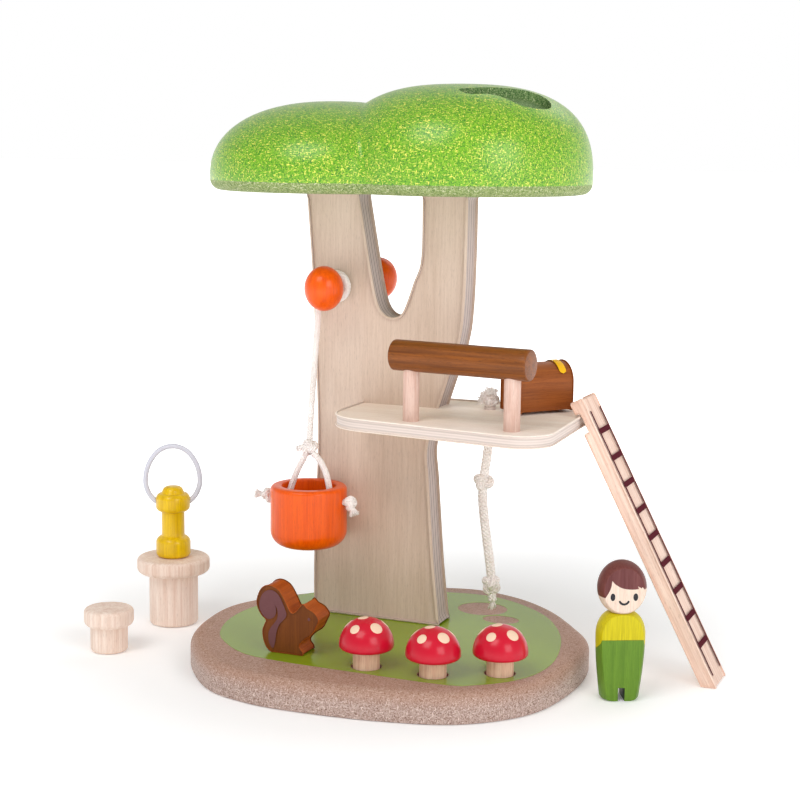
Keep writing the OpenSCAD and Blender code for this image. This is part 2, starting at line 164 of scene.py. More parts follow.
def evaluated(obj):
    """Mesh of an object with its modifiers applied."""
    bpy.context.view_layer.update()
    return bpy.data.meshes.new_from_object(obj.evaluated_get(bpy.context.evaluated_depsgraph_get()))


def make(name, shape, mats, body=None, nodes=(), sharp=38, matrix=None):
    """Makes a piece from points in millimetres. With a matrix, its grain follows its own axes."""
    verts, faces = shape
    mesh = bpy.data.meshes.new(name)
    mesh.from_pydata([tuple(c * MM for c in v) for v in verts], [], [tuple(f) for f in faces])
    mesh.validate()
    for m in mats if isinstance(mats, list) else [mats]:
        mesh.materials.append(m)
    return dress(linked(name, mesh), body, nodes, sharp, matrix)


def dress(obj, body, nodes=(), sharp=38, matrix=None):
    obj.data.polygons.foreach_set("use_smooth", [True] * len(obj.data.polygons))
    if sharp:
        obj.data.set_sharp_from_angle(angle=radians(sharp))
    if matrix is not None:
        obj.matrix_world = in_metres(matrix)
    if body:
        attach(obj, body)
    if nodes:
        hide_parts(*nodes)
    return obj


def skin(rings):
    """Points and faces of the skin through rings of equal length, with flat ends."""
    n, m = len(rings[0]), len(rings)
    verts = [tuple(p) for ring in rings for p in ring]
    faces = [(k * n + i, k * n + (i + 1) % n, (k + 1) * n + (i + 1) % n, (k + 1) * n + i)
             for k in range(m - 1) for i in range(n)]
    return verts, faces + [tuple(range(n))[::-1], tuple(range((m - 1) * n, m * n))]


def turned(profile, sides=64):
    """Points and faces of a profile of (radius, height) turned about Z. Radius 0 makes a pole."""
    verts, faces, rows = [], [], []
    for r, z in profile:
        count = 1 if r < 1e-6 else sides
        rows.append([len(verts) + i % count for i in range(sides)])
        verts += [(r * cos(TAU * i / sides), r * sin(TAU * i / sides), z) for i in range(count)]
    for a, b in zip(rows, rows[1:]):
        for i in range(sides):
            j = (i + 1) % sides
            face = [a[i], a[j], b[j], b[i]]
            face = [v for k, v in enumerate(face) if v != face[k - 1]]
            if len(face) > 2:
                faces.append(face)
    return verts, faces


def rounded_disc(r, z0, z1, e0, e1, steps=6):
    """Profile of a disc with rounded lower and upper edges."""
    return ([(0, z0)] + arc((r - e0, z0 + e0), e0, -90, 0, steps) + arc((r - e1, z1 - e1), e1, 0, 90, steps)
            + [(0, z1)])


def slab(outline, low, high, edge, steps=4):
    """Outline extruded between two heights, with its edges rounded."""
    bends = [pi / 2 * k / steps for k in range(steps + 1)]
    rings = []
    for level, way, turns in ((low, 1, bends), (high, -1, bends[::-1])):
        for a in turns:
            z = level + way * edge * (1 - sin(a))
            rings.append([(x, y, z) for x, y in inset(outline, edge * (1 - cos(a)))])
    return skin(rings)


def box(x0, x1, y0, y1, z0, z1):
    return skin([[(x0, y0, z), (x1, y0, z), (x1, y1, z), (x0, y1, z)] for z in (z0, z1)])


def shaft(x, y, z0, z1, r, sides=64):
    """Upright round bar."""
    return placed(turned([(0, z0), (r, z0), (r, z1), (0, z1)], sides), place((x, y, 0)))


def placed(shape, matrix):
    """The same shape moved by a matrix."""
    verts, faces = shape
    return [tuple(matrix @ Vector(v)) for v in verts], faces


def joined(*shapes):
    """Several shapes as one."""
    verts, faces = [], []
    for v, f in shapes:
        faces += [[i + len(verts) for i in face] for face in f]
        verts += list(v)
    return verts, faces


def cut(obj, *tools):
    """Subtracts closed shapes from a piece and applies the result."""
    for k, shape in enumerate(tools):
        tool = make(f"{obj.name}_tool{k}", shape, obj.data.materials[0], sharp=0)
        modifier = obj.modifiers.new("cut", "BOOLEAN")
        modifier.operation, modifier.solver, modifier.object = "DIFFERENCE", "EXACT", tool
        mesh = evaluated(obj)
        obj.modifiers.clear()
        obj.data = mesh
        bpy.data.objects.remove(tool)


def soften_edges(obj, width):
    """Rounds the sharp edges of a finished piece."""
    bevel = obj.modifiers.new("soft_edges", "BEVEL")
    bevel.width, bevel.segments = width * MM, 3
    bevel.limit_method, bevel.angle_limit = "ANGLE", radians(35)


def oval_tube(line, u, w, sides):
    """Tube along a line whose section has the half axes u and w at each point."""
    turns = [TAU * i / sides for i in range(sides)]
    return skin([[p + a * cos(t) + b * sin(t) for t in turns] for p, a, b in zip(line, u, w)])


def sides_of(p):
    """Two steady side directions along a path."""
    t = unit(np.gradient(p, axis=0))
    u = np.cross(t[0], (0.3, 1, 0.2))
    us = []
    for ahead in t:
        u = u - ahead * (u @ ahead)
        u = u / np.linalg.norm(u)
        us.append(u)
    return np.array(us), np.cross(t, us)


def tube(path, radius, sides=10):
    """Round tube along a path; radius is a number or one for each point."""
    p = np.array(path, float)
    r = np.broadcast_to(np.array(radius, float), len(p))[:, None]
    u, w = sides_of(p)
    return oval_tube(p, r * u, r * w, sides)


def yarn(line, core, wide, thick):
    """Flattened tube along a line that lies round a core: thick away from the core, wide along it."""
    t = unit(np.gradient(line, axis=0))
    out = line - core
    out = unit(out - t * (out * t).sum(1)[:, None])
    return oval_tube(line, thick * out, wide * np.cross(t, out), 5)


def braid(path, radius, strands=6, pitch=2.6):
    """Braided cord along a path: strands wound both ways that pass over and under each other."""
    p = even(path, radius * 0.2)
    u, w = sides_of(p)
    along = lengths(p)
    shapes = [tube(p[::3], radius * 0.8, 12)]
    size = radius * 0.26
    for way in (1, -1):
        for s in range(strands):
            a = way * TAU * along / (pitch * 2 * radius) + TAU * s / strands
            lift = radius - size * 0.8 + 0.07 * radius * way * np.cos(strands * a)
            line = p + lift[:, None] * (u * np.cos(a)[:, None] + w * np.sin(a)[:, None])
            shapes.append(yarn(line, p, size * 1.25, size * 0.62))
    return joined(*shapes)


def overhand(centre, wide, high, radius, turn, lean):
    """Rope wound in an overhand knot that fills a rounded space."""
    t = np.linspace(0, TAU, 90)[:-1]
    x, y, z = np.sin(t) + 2 * np.sin(2 * t), np.cos(t) - 2 * np.cos(2 * t), -np.sin(3 * t)
    across, up = wide / 2 - radius, high / 2 - radius
    p = np.stack([x / 3 * across, z * across * 0.62, y / 3 * up * 1.05], 1)
    m = Matrix.Rotation(radians(turn), 3, "Z") @ Matrix.Rotation(radians(lean), 3, "Y")
    p = p @ np.array(m).T + np.array(centre)
    core = placed(turned([(0, -1)] + arc((0, 0), 1, -80, 80, 10) + [(0, 1)], 20),
                  place(centre) @ Matrix.Diagonal((wide * 0.3, wide * 0.3, high * 0.32, 1)))
    return joined(braid(np.vstack([p, p[:1]]), radius), core)


def frayed(root, way, length, spread, fibres, thick=0.34):
    """Loose cord end: thin fibres that fan out and curl a little."""
    way = Vector(way).normalized()
    side = way.orthogonal().normalized()
    other = way.cross(side)
    steps = np.linspace(0, 1, 6)
    shapes = []
    for _ in range(fibres):
        a, far = rng.uniform(0, TAU), rng.uniform(0, 1) ** 0.6
        out = side * cos(a) + other * sin(a)
        curl = side * rng.uniform(-1, 1) + other * rng.uniform(-1, 1)
        reach = length * rng.uniform(0.72, 1.0)
        line = [Vector(root) + way * reach * s + out * far * (0.42 * spread + 0.58 * spread * s * s)
                + curl * 0.10 * length * s * s for s in steps]
        shapes.append(tube(line, [thick * (1 - 0.45 * s) for s in steps], 5))
    return joined(*shapes)


def film(name, outlines, thick, mat, body, matrix):
    """Thin printed layer: the first outline filled, the others cut out of it, laid on a face."""
    curve = bpy.data.curves.new(name + "_outline", "CURVE")
    curve.dimensions, curve.fill_mode, curve.extrude = "2D", "BOTH", thick / 2 * MM
    for outline in outlines:
        line = curve.splines.new("POLY")
        line.points.add(len(outline) - 1)
        line.points.foreach_set("co", [c for x, y in outline for c in (x * MM, y * MM, 0, 1)])
        line.use_cyclic_u = True
    drawn = linked(name + "_drawn", curve)
    mesh = evaluated(drawn)
    bpy.data.objects.remove(drawn)
    mesh.name = name
    mesh.transform(in_metres(matrix) @ Matrix.Translation((0, 0, thick / 2 * MM)))
    mesh.materials.clear()
    mesh.materials.append(mat)
    return dress(linked(name, mesh), body)


# ---- materials ----


def rgb(colour):
    """Linear colour with alpha from an sRGB colour of 0 to 255. A colour with alpha is linear already."""
    if len(colour) == 4:
        return colour
    shares = [c / 255 for c in colour]
    return (*(c / 12.92 if c <= 0.04045 else ((c + 0.055) / 1.055) ** 2.4 for c in shares), 1.0)


class Nodes:
    """A node tree under construction, with short names for the nodes it uses."""

    def __init__(self, tree):
        self.tree = tree

    def feed(self, socket, value):
        """Gives a socket the output of another node, a colour or a number."""
        if isinstance(value, bpy.types.NodeSocket):
            self.tree.links.new(value, socket)
        else:
            socket.default_value = rgb(value) if socket.type == "RGBA" else value

    def node(self, kind, inputs=(), **settings):
        n = self.tree.nodes.new("ShaderNode" + kind)
        for key, value in settings.items():
            setattr(n, key, value)
        for key, value in dict(inputs).items():
            self.feed(n.inputs[key], value)
        return n

    def ramp(self, factor, stops):
        n = self.node("ValToRGB", {"Fac": factor})
        elements = n.color_ramp.elements
        while len(elements) < len(stops):
            elements.new(0.5)
        for element, (at, colour) in zip(elements, stops):
            element.position = at
            element.color = rgb(colour)
        return n.outputs["Color"]

    def mask(self, factor, low, high):
        """Black below low, white above high."""
        return self.ramp(factor, [(low, (0, 0, 0)), (high, (255, 255, 255))])

    def mix(self, factor, a, b):
        return self.node("Mix", {0: factor, 6: a, 7: b}, data_type="RGBA").outputs[2]

    def math(self, operation, a, b=0.0, clamp=False):
        return self.node("Math", {0: a, 1: b}, operation=operation, use_clamp=clamp).outputs[0]

    def separate(self, vector):
        return self.node("SeparateXYZ", {"Vector": vector}).outputs

    def map(self, value, low, high, to_low=0.0, to_high=1.0):
        """Value brought from one range to another, held at its ends."""
        return self.node("MapRange", {"Value": value, "From Min": low, "From Max": high, "To Min": to_low,
                                      "To Max": to_high}).outputs[0]


class Paint(Nodes):
    """A material under construction, on object coordinates in millimetres."""

    def __init__(self, name, rough=0.5, coat=0.0, coat_rough=0.15, sheen=0.0, specular=0.2):
        self.mat = bpy.data.materials.new(name)
        self.mat.use_nodes = True
        super().__init__(self.mat.node_tree)
        self.shader = self.tree.nodes["Principled BSDF"]
        for socket, value in (("Roughness", rough), ("Coat Weight", coat), ("Coat Roughness", coat_rough),
                              ("Sheen Weight", sheen), ("Specular IOR Level", specular)):
            self.shader.inputs[socket].default_value = value
        self.place = self.node("TexCoord").outputs

    def coords(self, stretch=(1, 1, 1), turn=(0, 0, 0)):
        """Object coordinates scaled by stretch after a turn in degrees."""
        settings = {"Rotation": [radians(a) for a in turn], "Scale": [s / MM for s in stretch]}
        return self.node("Mapping", {"Vector": self.place["Object"], **settings}).outputs["Vector"]

    def noise(self, vector, scale=1.0, detail=3.0, rough=0.55):
        return self.node("TexNoise", {"Vector": vector, "Scale": scale, "Detail": detail,
                                      "Roughness": rough}).outputs["Fac"]

    def surface(self, socket, value):
        self.feed(self.shader.inputs[socket], value)

    def bump(self, height, strength, distance):
        n = self.node("Bump", {"Height": height, "Strength": strength, "Distance": distance * MM})
        self.surface("Normal", n.outputs["Normal"])


GRAIN_ALONG = {"X": (0.035, 1, 1), "Y": (1, 0.035, 1), "Z": (1, 1, 0.035)}


def wood(name, base, dark, along="Z", pores=0.3, wide=0.3, streak=0.5, deep=0.12, fine=1.6, **finish):
    """Fine straight-grained wood: broad soft bands, narrow streaks and short pores along one axis."""
    p = Paint(name, **finish)
    s = GRAIN_ALONG[along]
    bands = p.noise(p.coords([c * wide for c in s]), detail=2.0)
    lines = p.noise(p.coords([c * fine for c in s]), detail=4.0, rough=0.7)
    pore = p.noise(p.coords([c * 4.5 if c == 1 else c * 9 for c in s]), detail=1.0)
    tone = p.mix(p.mask(bands, 0.35, 0.68), base, dark)
    tone = p.mix(streak, tone, p.mix(p.mask(lines, 0.38, 0.66), base, dark))
    specks = p.mask(pore, 0.60, 0.72)
    tone = p.mix(p.math("MULTIPLY", specks, pores), tone, p.mix(0.55, dark, (40, 20, 10)))
    p.surface("Base Color", tone)
    p.bump(p.math("SUBTRACT", lines, specks), deep, 0.12)
    return p


def speckled(name, tones, size, **finish):
    """Pressed wood-dust board: fibres and grains of several tones, packed without a grain direction."""
    p = Paint(name, **finish)
    cells = p.node("TexVoronoi", {"Vector": p.coords((1 / size,) * 3), "Scale": 1.35})
    grain = p.separate(cells.outputs["Color"])[0]
    tone = p.ramp(grain, [(0.0, tones[0]), (0.35, tones[1]), (0.7, tones[2]), (1.0, tones[1])])
    for stretch, turn, colour, share in (((0.55, 2.2, 2.2), (20, 0, 35), tones[3], 0.60),
                                         ((2.2, 0.6, 2.2), (0, 35, 20), tones[4], 0.585),
                                         ((2.2, 2.2, 0.6), (35, 20, 0), tones[3], 0.62)):
        shred = p.noise(p.coords(stretch, turn), scale=0.62 / size, detail=2.0, rough=0.6)
        tone = p.mix(p.mask(shred, share, share + 0.04), tone, colour)
    cloud = p.noise(p.coords((0.05, 0.05, 0.05)), detail=2.0)
    tone = p.mix(p.math("MULTIPLY", cloud, 0.22), tone, tones[0])
    p.surface("Base Color", tone)
    p.bump(grain, 0.15, 0.15)
    return p, tone


def plain(name, colour, rough=0.5, mottling=0.12, shade=None, scale=0.4, **finish):
    """Painted or printed surface with slight unevenness."""
    p = Paint(name, **finish)
    uneven = p.noise(p.coords((scale,) * 3), detail=4.0)
    shade = shade or tuple(c * 0.82 for c in colour)
    p.surface("Base Color", p.mix(p.math("MULTIPLY", uneven, mottling * 2), colour, shade))
    p.surface("Roughness", p.math("ADD", p.math("MULTIPLY", uneven, 0.10), rough - 0.05))
    p.bump(uneven, 0.05, 0.1)
    return p.mat


# ---- camera and light ----

CAMERA_AT = Vector((360.98, -870.32, 286.68))
CAMERA_TURN, CAMERA_DOWN, CAMERA_ROLL = (radians(a) for a in (21.958, 8.836, 0.6415))
SENSOR, LENS = 36.0, 76.57


def make_camera():
    turn, down = CAMERA_TURN, CAMERA_DOWN
    ahead = Vector((-sin(turn) * cos(down), cos(turn) * cos(down), -sin(down)))
    level = Vector((cos(turn), sin(turn), 0))
    over = level.cross(ahead)
    right = cos(CAMERA_ROLL) * level + sin(CAMERA_ROLL) * over
    up = -sin(CAMERA_ROLL) * level + cos(CAMERA_ROLL) * over
    data = bpy.data.cameras.new("camera")
    data.sensor_width, data.lens = SENSOR, LENS
    data.clip_start, data.clip_end = 0.05, 20
    camera = linked("camera", data)
    axes = Matrix((right, up, -ahead)).transposed().to_4x4()
    camera.matrix_world = Matrix.Translation(CAMERA_AT * MM) @ axes
    bpy.context.scene.camera = camera


def make_light(name, at, aim, size, power, colour):
    data = bpy.data.lights.new(name, "AREA")
    data.shape, data.size, data.size_y = "RECTANGLE", *size
    data.energy, data.color = power, colour
    light = linked(name, data)
    light.location = at
    light.rotation_mode = "QUATERNION"
    light.rotation_quaternion = (Vector(aim) - Vector(at)).to_track_quat("-Z", "Y")


def make_world():
    """A bright wall behind the set, a darker room on the side it is seen from, and white near the horizon."""
    world = bpy.data.worlds.new("studio")
    world.use_nodes = True
    sky = Nodes(world.node_tree)
    way = sky.separate(sky.node("TexCoord").outputs["Generated"])
    room = sky.ramp(sky.map(way[1], -1.0, 1.0), [(0.0, (0.36, 0.36, 0.37, 1)), (1.0, (0.62, 0.62, 0.62, 1))])
    background = world.node_tree.nodes["Background"].inputs
    background["Strength"].default_value = 1.0
    sky.feed(background["Color"], sky.mix(sky.map(way[2], 0.10, 0.34, 1.0, 0.0), room, (1, 1, 1, 1)))
    bpy.context.scene.world = world
    bpy.context.scene.view_settings.view_transform = "Standard"


FLOOR_HALF, FLOOR_Z = 14.0, -0.0002
GLOW_FROM, GLOW_TO = 150.0, 560.0


def make_floor():
    """White paper that glows more the farther it is from the set, so that it meets the white wall."""
    mesh = bpy.data.meshes.new("floor")
    corners = ((-1, -1), (1, -1), (1, 1), (-1, 1))
    mesh.from_pydata([(x * FLOOR_HALF, y * FLOOR_HALF, FLOOR_Z) for x, y in corners], [], [(0, 1, 2, 3)])
    paper = Paint("floor_white", rough=0.9, specular=0.1)
    paper.surface("Base Color", (254, 254, 254))
    away = paper.node("VectorMath", {0: paper.coords()}, operation="LENGTH").outputs["Value"]
    paper.surface("Emission Strength", paper.map(away, GLOW_FROM, GLOW_TO, 0.1, 1.0))
    paper.surface("Emission Color", (1, 1, 1, 1))
    mesh.materials.append(paper.mat)
    linked("floor", mesh)


make_camera()
make_world()
make_light("key", (-0.3, -1.2, 1.55), (0, 0, 0.14), (0.9, 0.9), 11.8, (1, 0.985, 0.965))
make_light("fill", (1.3, -0.9, 0.8), (0, 0, 0.12), (0.8, 0.8), 8.0, (0.98, 0.99, 1))
make_light("back", (0.2, 1.4, 1.3), (0, 0, 0.15), (1.2, 0.8), 3, (1, 1, 1))
make_floor()


# ---- cords ----


def cotton():
    """White braided cotton, a little stained in broad patches."""
    p = Paint("cotton_braid", rough=0.88, sheen=0.35)
    fuzz = p.noise(p.coords((2.6, 2.6, 2.6)))
    stain = p.noise(p.coords((0.14, 0.14, 0.14)))
    tone = p.mix(p.mask(stain, 0.35, 0.75), (252, 247, 244), (238, 228, 223))
    p.surface("Base Color", p.mix(p.math("MULTIPLY", fuzz, 0.22), tone, (214, 198, 188)))
    p.bump(fuzz, 0.45, 0.15)
    return p.mat


COTTON = cotton()
LINE_R, ROPE_R = 1.8, 2.65
LINE_ROUTE = [
    (-32.6, -13.2, 202), (-33.1, -13.3, 199.5), (-33.4, -13.6, 196.6), (-33.3, -15, 190),
    (-33.1, -17.4, 178), (-32.9, -20, 166), (-32.6, -22.7, 154), (-32.2, -25.4, 142), (-31.7, -28.3, 130),
    (-31.3, -30.2, 121), (-31.1, -30.9, 117)]
LINE_KNOT = (-31, -31.1, 116)
ROPE_ROUTE = [
    (62.5, 2, 132.4), (62.4, 2, 125), (61.9, 2, 118), (61, 2, 110), (60, 2, 103), (59.4, 2, 96),
    (59.2, 2, 89), (60.1, 2, 80), (61.5, 2, 70), (62.9, 2, 61), (64.1, 2, 53), (65, 2, 46), (65.2, 2, 40.5)]
MID_KNOT, END_KNOT, TOP_KNOT = (59.5, 2, 98), (65.2, 2, 40.5), (62.5, 2, 144.5)
BUCKET = (-31.0, -31.8, 60.8)
BUCKET_PIN_Z = 87.0
AXLE_X, AXLE_Z = -24.2, 203.8


def cord_piece(name, shape, body, nodes):
    return make(name, shape, COTTON, body, nodes, sharp=0)


def climbing_rope():
    line = smooth_run(ROPE_ROUTE, 6)
    rope = cord_piece("climbing_rope_braid", braid(line, ROPE_R), "climbing_rope", ["climbing_rope"])
    middle = cord_piece("climbing_rope_middle_knot", overhand(MID_KNOT, 12.6, 10.5, ROPE_R * 0.88, 20, 12),
                        "climbing_rope", ["rope_knot_middle"])
    tail = [(END_KNOT[0] + 0.2, 2, 37), (65.8, 2, 34), (66.2, 2, 31.5)]
    end = joined(overhand(END_KNOT, 12.2, 11.5, ROPE_R * 0.9, -30, -10), braid(tail, ROPE_R * 0.9),
                 frayed((66.1, 2, 32.5), (0.08, 0, -1), 6.2, 2.6, 46))
    end = cord_piece("climbing_rope_end_knot", end, "climbing_rope", ["rope_knot_end"])
    top = joined(braid([(62.5, 2, z) for z in (138.5, 140, 142, 144)], ROPE_R),
                 overhand(TOP_KNOT, 10.8, 9.6, ROPE_R * 0.9, 50, 20),
                 frayed((62.8, 1.2, 146), (0.2, -0.35, 1), 4.6, 4.2, 150, 0.4),
                 frayed((61.5, 0.2, 144.5), (-1, -0.7, 0.35), 4.6, 4.2, 110, 0.4))
    cord_piece("climbing_rope_top_knot", top, "tree", ["rope_knot_top"])


# Each handle strand from the knot to its hole: distance out from the bucket's middle, and height
STRANDS = {
    "left": [(1.9, 112.5), (3.8, 108.5), (6, 104.5), (8, 100), (9.8, 95.5), (11.2, 91.5), (12.1, 88.5)],
    "right": [(2.6, 112.9), (5.7, 110.2), (8.5, 106.3), (10.6, 101.8), (11.9, 96.8), (12.6, 92.6),
              (12.7, 88.5)]}
SIDES = {"left": -1, "right": 1}
FRAY_WAY = {"left": (-0.8, -0.25, 0.1), "right": (0.45, -0.25, -0.85)}


def at_pin(out):
    """Point on the line through the bucket's two holes."""
    return Vector((BUCKET[0] + out, BUCKET[1], BUCKET_PIN_Z))


def handle_strand(word):
    route = [(BUCKET[0] + SIDES[word] * x, BUCKET[1], z) for x, z in STRANDS[word]]
    return cord_piece(f"bucket_handle_{word}", braid(smooth_run(route, 6), LINE_R), "hoist",
                      [f"handle_strand_{word}"])


def stop_knot(word):
    side, way = SIDES[word], FRAY_WAY[word]
    knot = at_pin(side * 25.2)
    shape = joined(braid([at_pin(side * 15.1), at_pin(side * 23.7)], LINE_R),
                   overhand(knot, 7.8, 9.4, LINE_R * 1.08, 70, side * 15),
                   frayed(knot + Vector(way).normalized() * 2.6, way, 5.2, 3.0, 70, 0.3))
    cord_piece(f"bucket_stop_knot_{word}", shape, "bucket", [f"handle_knot_{word}"])


def bucket_cord():
    line = smooth_run(LINE_ROUTE, 6)
    knot = joined(overhand(LINE_KNOT, 9.6, 10.4, LINE_R * 1.1, 15, 25),
                  braid([(-33, -31.7, 116.2), (-35, -32, 115.8), (-36.6, -32.1, 115.2)], LINE_R),
                  frayed((-36, -32.1, 115.4), (-1, -0.1, -0.25), 2.8, 2.0, 40, 0.3))
    knot = cord_piece("bucket_cord_knot", knot, "hoist", ["line_knot"])
    strands = [handle_strand(word) for word in SIDES]
    cord = cord_piece("bucket_cord", braid(line, LINE_R), None, ["bucket_line"])
    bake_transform(cord)
    for word in SIDES:
        stop_knot(word)


def cord_winding():
    """Cord wound in two layers on the axle, between the front ball and the trunk."""
    turns, pitch, points = 2.2, 3.3, 60
    path = []
    for radius, start, way in ((4.85, -11.3, -1), (7.5, -14.5, 1)):
        for share in np.linspace(0, 1, points):
            a = TAU * turns * share
            path.append((AXLE_X - radius * cos(a), start + way * pitch * turns * 0.44 * share,
                         AXLE_Z - radius * sin(a)))
    cord_piece("wound_cord", braid(path, LINE_R * 0.97), "pulley", ["rope_coil"])


climbing_rope()
bucket_cord()
cord_winding()


# ---- materials of the pieces ----


def pressed_board():
    """Composite board that is browner on its rounded top edge."""
    p, tone = speckled("pressed_board", [(152, 124, 112), (182, 156, 145), (204, 181, 171), (232, 213, 204),
                                         (118, 86, 70)], 0.8, rough=0.55, coat=0.08)
    rise = p.map(p.separate(p.coords())[2], 7.0, 14.0)
    p.surface("Base Color", p.mix(rise, tone, p.mix(0.5, tone, (168, 120, 90))))
    return p.mat


def plywood(name, face, dark, axis, low, high, plies, along, mild=0.0):
    """Veneered sheet: grained faces, and layers seen on the cut edges."""
    p = wood(name, face, dark, along=along, wide=0.05, deep=0.08, fine=0.9)
    base = p.shader.inputs["Base Color"].links[0].from_socket
    index = "XYZ".index(axis)
    normal, depth = p.separate(p.place["Normal"])[index], p.separate(p.coords())[index]
    ply = p.math("DIVIDE", p.math("SUBTRACT", depth, low), (high - low) / plies)
    wobble = p.math("MULTIPLY", p.noise(p.coords((0.12, 0.12, 0.12)), detail=2.0), 0.25)
    cross = p.math("PINGPONG", p.math("ADD", ply, p.math("ADD", 0.4, wobble)), 1.0)
    fibre = p.noise(p.coords((0.9, 0.9, 0.9)), detail=4.0, rough=0.7)
    layer = p.ramp(cross, [(0.0, (104, 87, 83)), (0.2, (140, 121, 115)), (0.4, (214, 200, 194)),
                           (0.7, (200, 184, 178)), (1.0, (158, 137, 131))])
    layer = p.mix(mild, p.mix(p.math("MULTIPLY", fibre, 0.4), layer, (178, 158, 150)), (230, 218, 209))
    on_edge = p.math("LESS_THAN", p.math("ABSOLUTE", normal), 0.35)
    p.surface("Base Color", p.mix(on_edge, base, layer))
    return p.mat


def two_tone(name, lower, upper, limit, coat, slot_painted_shade=None):
    """Stained wood in two colours; limit(paint, x, y, z) gives the height where they meet. An optional slot,
    given as half width and height, is filled with painted shade.
    """
    p = wood(name, *lower, wide=0.5, rough=0.45, coat=coat)
    below = p.shader.inputs["Base Color"].links[0].from_socket
    lines = p.noise(p.coords((1.4, 1.4, 0.05)), detail=4.0, rough=0.7)
    above = p.mix(p.mask(lines, 0.4, 0.68), *upper)
    x, y, z = p.separate(p.coords())
    lift = p.math("SUBTRACT", z, limit(p, x, y, z))
    tone = p.mix(p.math("GREATER_THAN", lift, 0.0), below, above)
    line = p.math("LESS_THAN", p.math("ABSOLUTE", lift), 0.16)
    tone = p.mix(p.math("MULTIPLY", line, 0.45), tone, tuple(c * 0.6 for c in lower[1]))
    # Painted shade: inside the slot between the legs the colour is made almost black where shade falls.
    if slot_painted_shade:
        between = p.math("LESS_THAN", p.math("ABSOLUTE", x), slot_painted_shade[0])
        slot_shade_mask = p.math("MULTIPLY", between, p.math("LESS_THAN", z, slot_painted_shade[1]))
        tone = p.mix(p.math("MULTIPLY", slot_shade_mask, 0.85), tone, (14, 16, 8))
    p.surface("Base Color", tone)
    return p.mat


def waist(p, x, y, z):
    """The waist runs level across front and back and drops on the sides."""
    side = p.math("MAXIMUM", p.math("SUBTRACT", 6.6, p.math("ABSOLUTE", y)), 0.0)
    drop = p.math("MULTIPLY", p.math("POWER", p.math("MULTIPLY", side, 1 / 6.6), 0.5), 6.0)
    return p.math("SUBTRACT", 32.4, drop)


def hairline(p, x, y, z):
    """Hair reaches lower on the left of the head than on the right, and never covers the flat face."""
    left = p.math("MULTIPLY", p.math("SUBTRACT", 6.0, x), 1 / 12.0, clamp=True)
    level = p.math("SUBTRACT", 0.6, p.math("MULTIPLY", left, 4.5))
    x2, z2 = (p.math("POWER", p.math("MULTIPLY", c, 1 / reach), 2.0) for c, reach in ((x, 10.0), (z, 11.2)))
    near = p.math("LESS_THAN", p.math("ADD", x2, z2), 1.0)
    on_face = p.math("MULTIPLY", p.math("LESS_THAN", y, -6.9), near)
    return p.math("ADD", level, p.math("MULTIPLY", on_face, 40.0))


TRUNK_HALF = 9
PLATFORM_TOP, PLATFORM_LOW = 140, 133
BOARD = pressed_board()
LEAF_TONES = [(68, 132, 14), (104, 163, 24), (134, 187, 35), (242, 234, 102), (10, 100, 34)]
RIM_TONES = [(106, 126, 68), (130, 147, 88), (155, 169, 112), (206, 208, 170), (76, 104, 54)]
HOLLOW_TONES = [(66, 98, 52), (92, 124, 68), (118, 146, 90), (180, 194, 140), (48, 76, 40)]
CANOPY_MATS = [speckled("canopy_board", LEAF_TONES, 0.85, rough=0.38, coat=0.6, coat_rough=0.3)[0].mat,
               speckled("canopy_rim", RIM_TONES, 0.85, rough=0.6)[0].mat,
               speckled("canopy_hollow", HOLLOW_TONES, 0.85, rough=0.7)[0].mat]
TRUNK = plywood("trunk_ply", (221, 201, 185), (198, 174, 155), "Y", -TRUNK_HALF, TRUNK_HALF, 10, "Z")
PLATFORM = plywood("platform_ply", (254, 242, 230), (240, 220, 204), "Z", PLATFORM_LOW, PLATFORM_TOP, 5, "X",
                   mild=0.6)
PINK = wood("post_wood", (226, 200, 187), (200, 156, 138), wide=0.5, streak=0.6, rough=0.6).mat
STUMP = wood("stump_wood", (248, 231, 218), (222, 190, 170), wide=0.16, streak=0.6, fine=0.7, rough=0.55).mat
STEM = wood("stem_wood", (248, 214, 186), (222, 172, 144), wide=0.5, rough=0.6).mat
LADDER = wood("ladder_wood", (248, 222, 206), (218, 176, 154), pores=0.4, wide=0.2, streak=0.6, fine=0.8,
              rough=0.6).mat
LOG = wood("log_stain", (146, 82, 28), (96, 50, 16), pores=0.7, wide=0.35, deep=0.3, fine=1.1, rough=0.4,
           coat=0.14).mat
CHEST = wood("chest_stain", (160, 88, 38), (120, 62, 24), along="X", pores=0.4, rough=0.45, coat=0.05).mat
SQUIRREL = wood("squirrel_stain", (126, 68, 22), (98, 50, 16)).mat
SQUIRREL_EDGE = wood("squirrel_edge", (182, 90, 28), (150, 68, 18), along="Y", wide=0.4).mat
ORANGE = wood("orange_lacquer", (243, 98, 2), (216, 72, 2), deep=0.14, fine=1.0, rough=0.3, coat=0.22).mat
YELLOW = wood("yellow_lacquer", (238, 198, 6), (206, 160, 6), wide=0.4, fine=1.0, rough=0.3, coat=0.3).mat
HAIR = wood("hair_stain", (120, 72, 70), (98, 52, 52), pores=0.2, wide=0.4).mat
DOWEL = wood("plain_dowel", (226, 200, 166), (200, 168, 132), pores=0.35, wide=0.22, rough=0.55).mat
# The slot between the doll's legs, as half width and height, gets painted shade.
CLOTHES = two_tone("doll_clothes_stain", ((108, 146, 44), (86, 122, 34)), ((212, 198, 16), (184, 168, 10)),
                   waist, coat=0.1, slot_painted_shade=(1.75, 7.05))
HEAD = two_tone("doll_head_stain", ((240, 220, 204), (222, 194, 174)), ((116, 64, 58), (96, 48, 46)),
                hairline, coat=0.0)
RED = plain("red_lacquer", (208, 16, 46), rough=0.3, coat=0.3, mottling=0.15, shade=(172, 14, 40), scale=0.2)
CREAM = plain("cream_spot", (244, 214, 186), mottling=0.2, shade=(226, 186, 158))
GROUND = plain("ground_print", (134, 158, 30), rough=0.24, coat=0.35, shade=(120, 142, 36), scale=0.3)
INK = plain("dark_ink", (34, 32, 38), rough=0.35, coat=0.3)
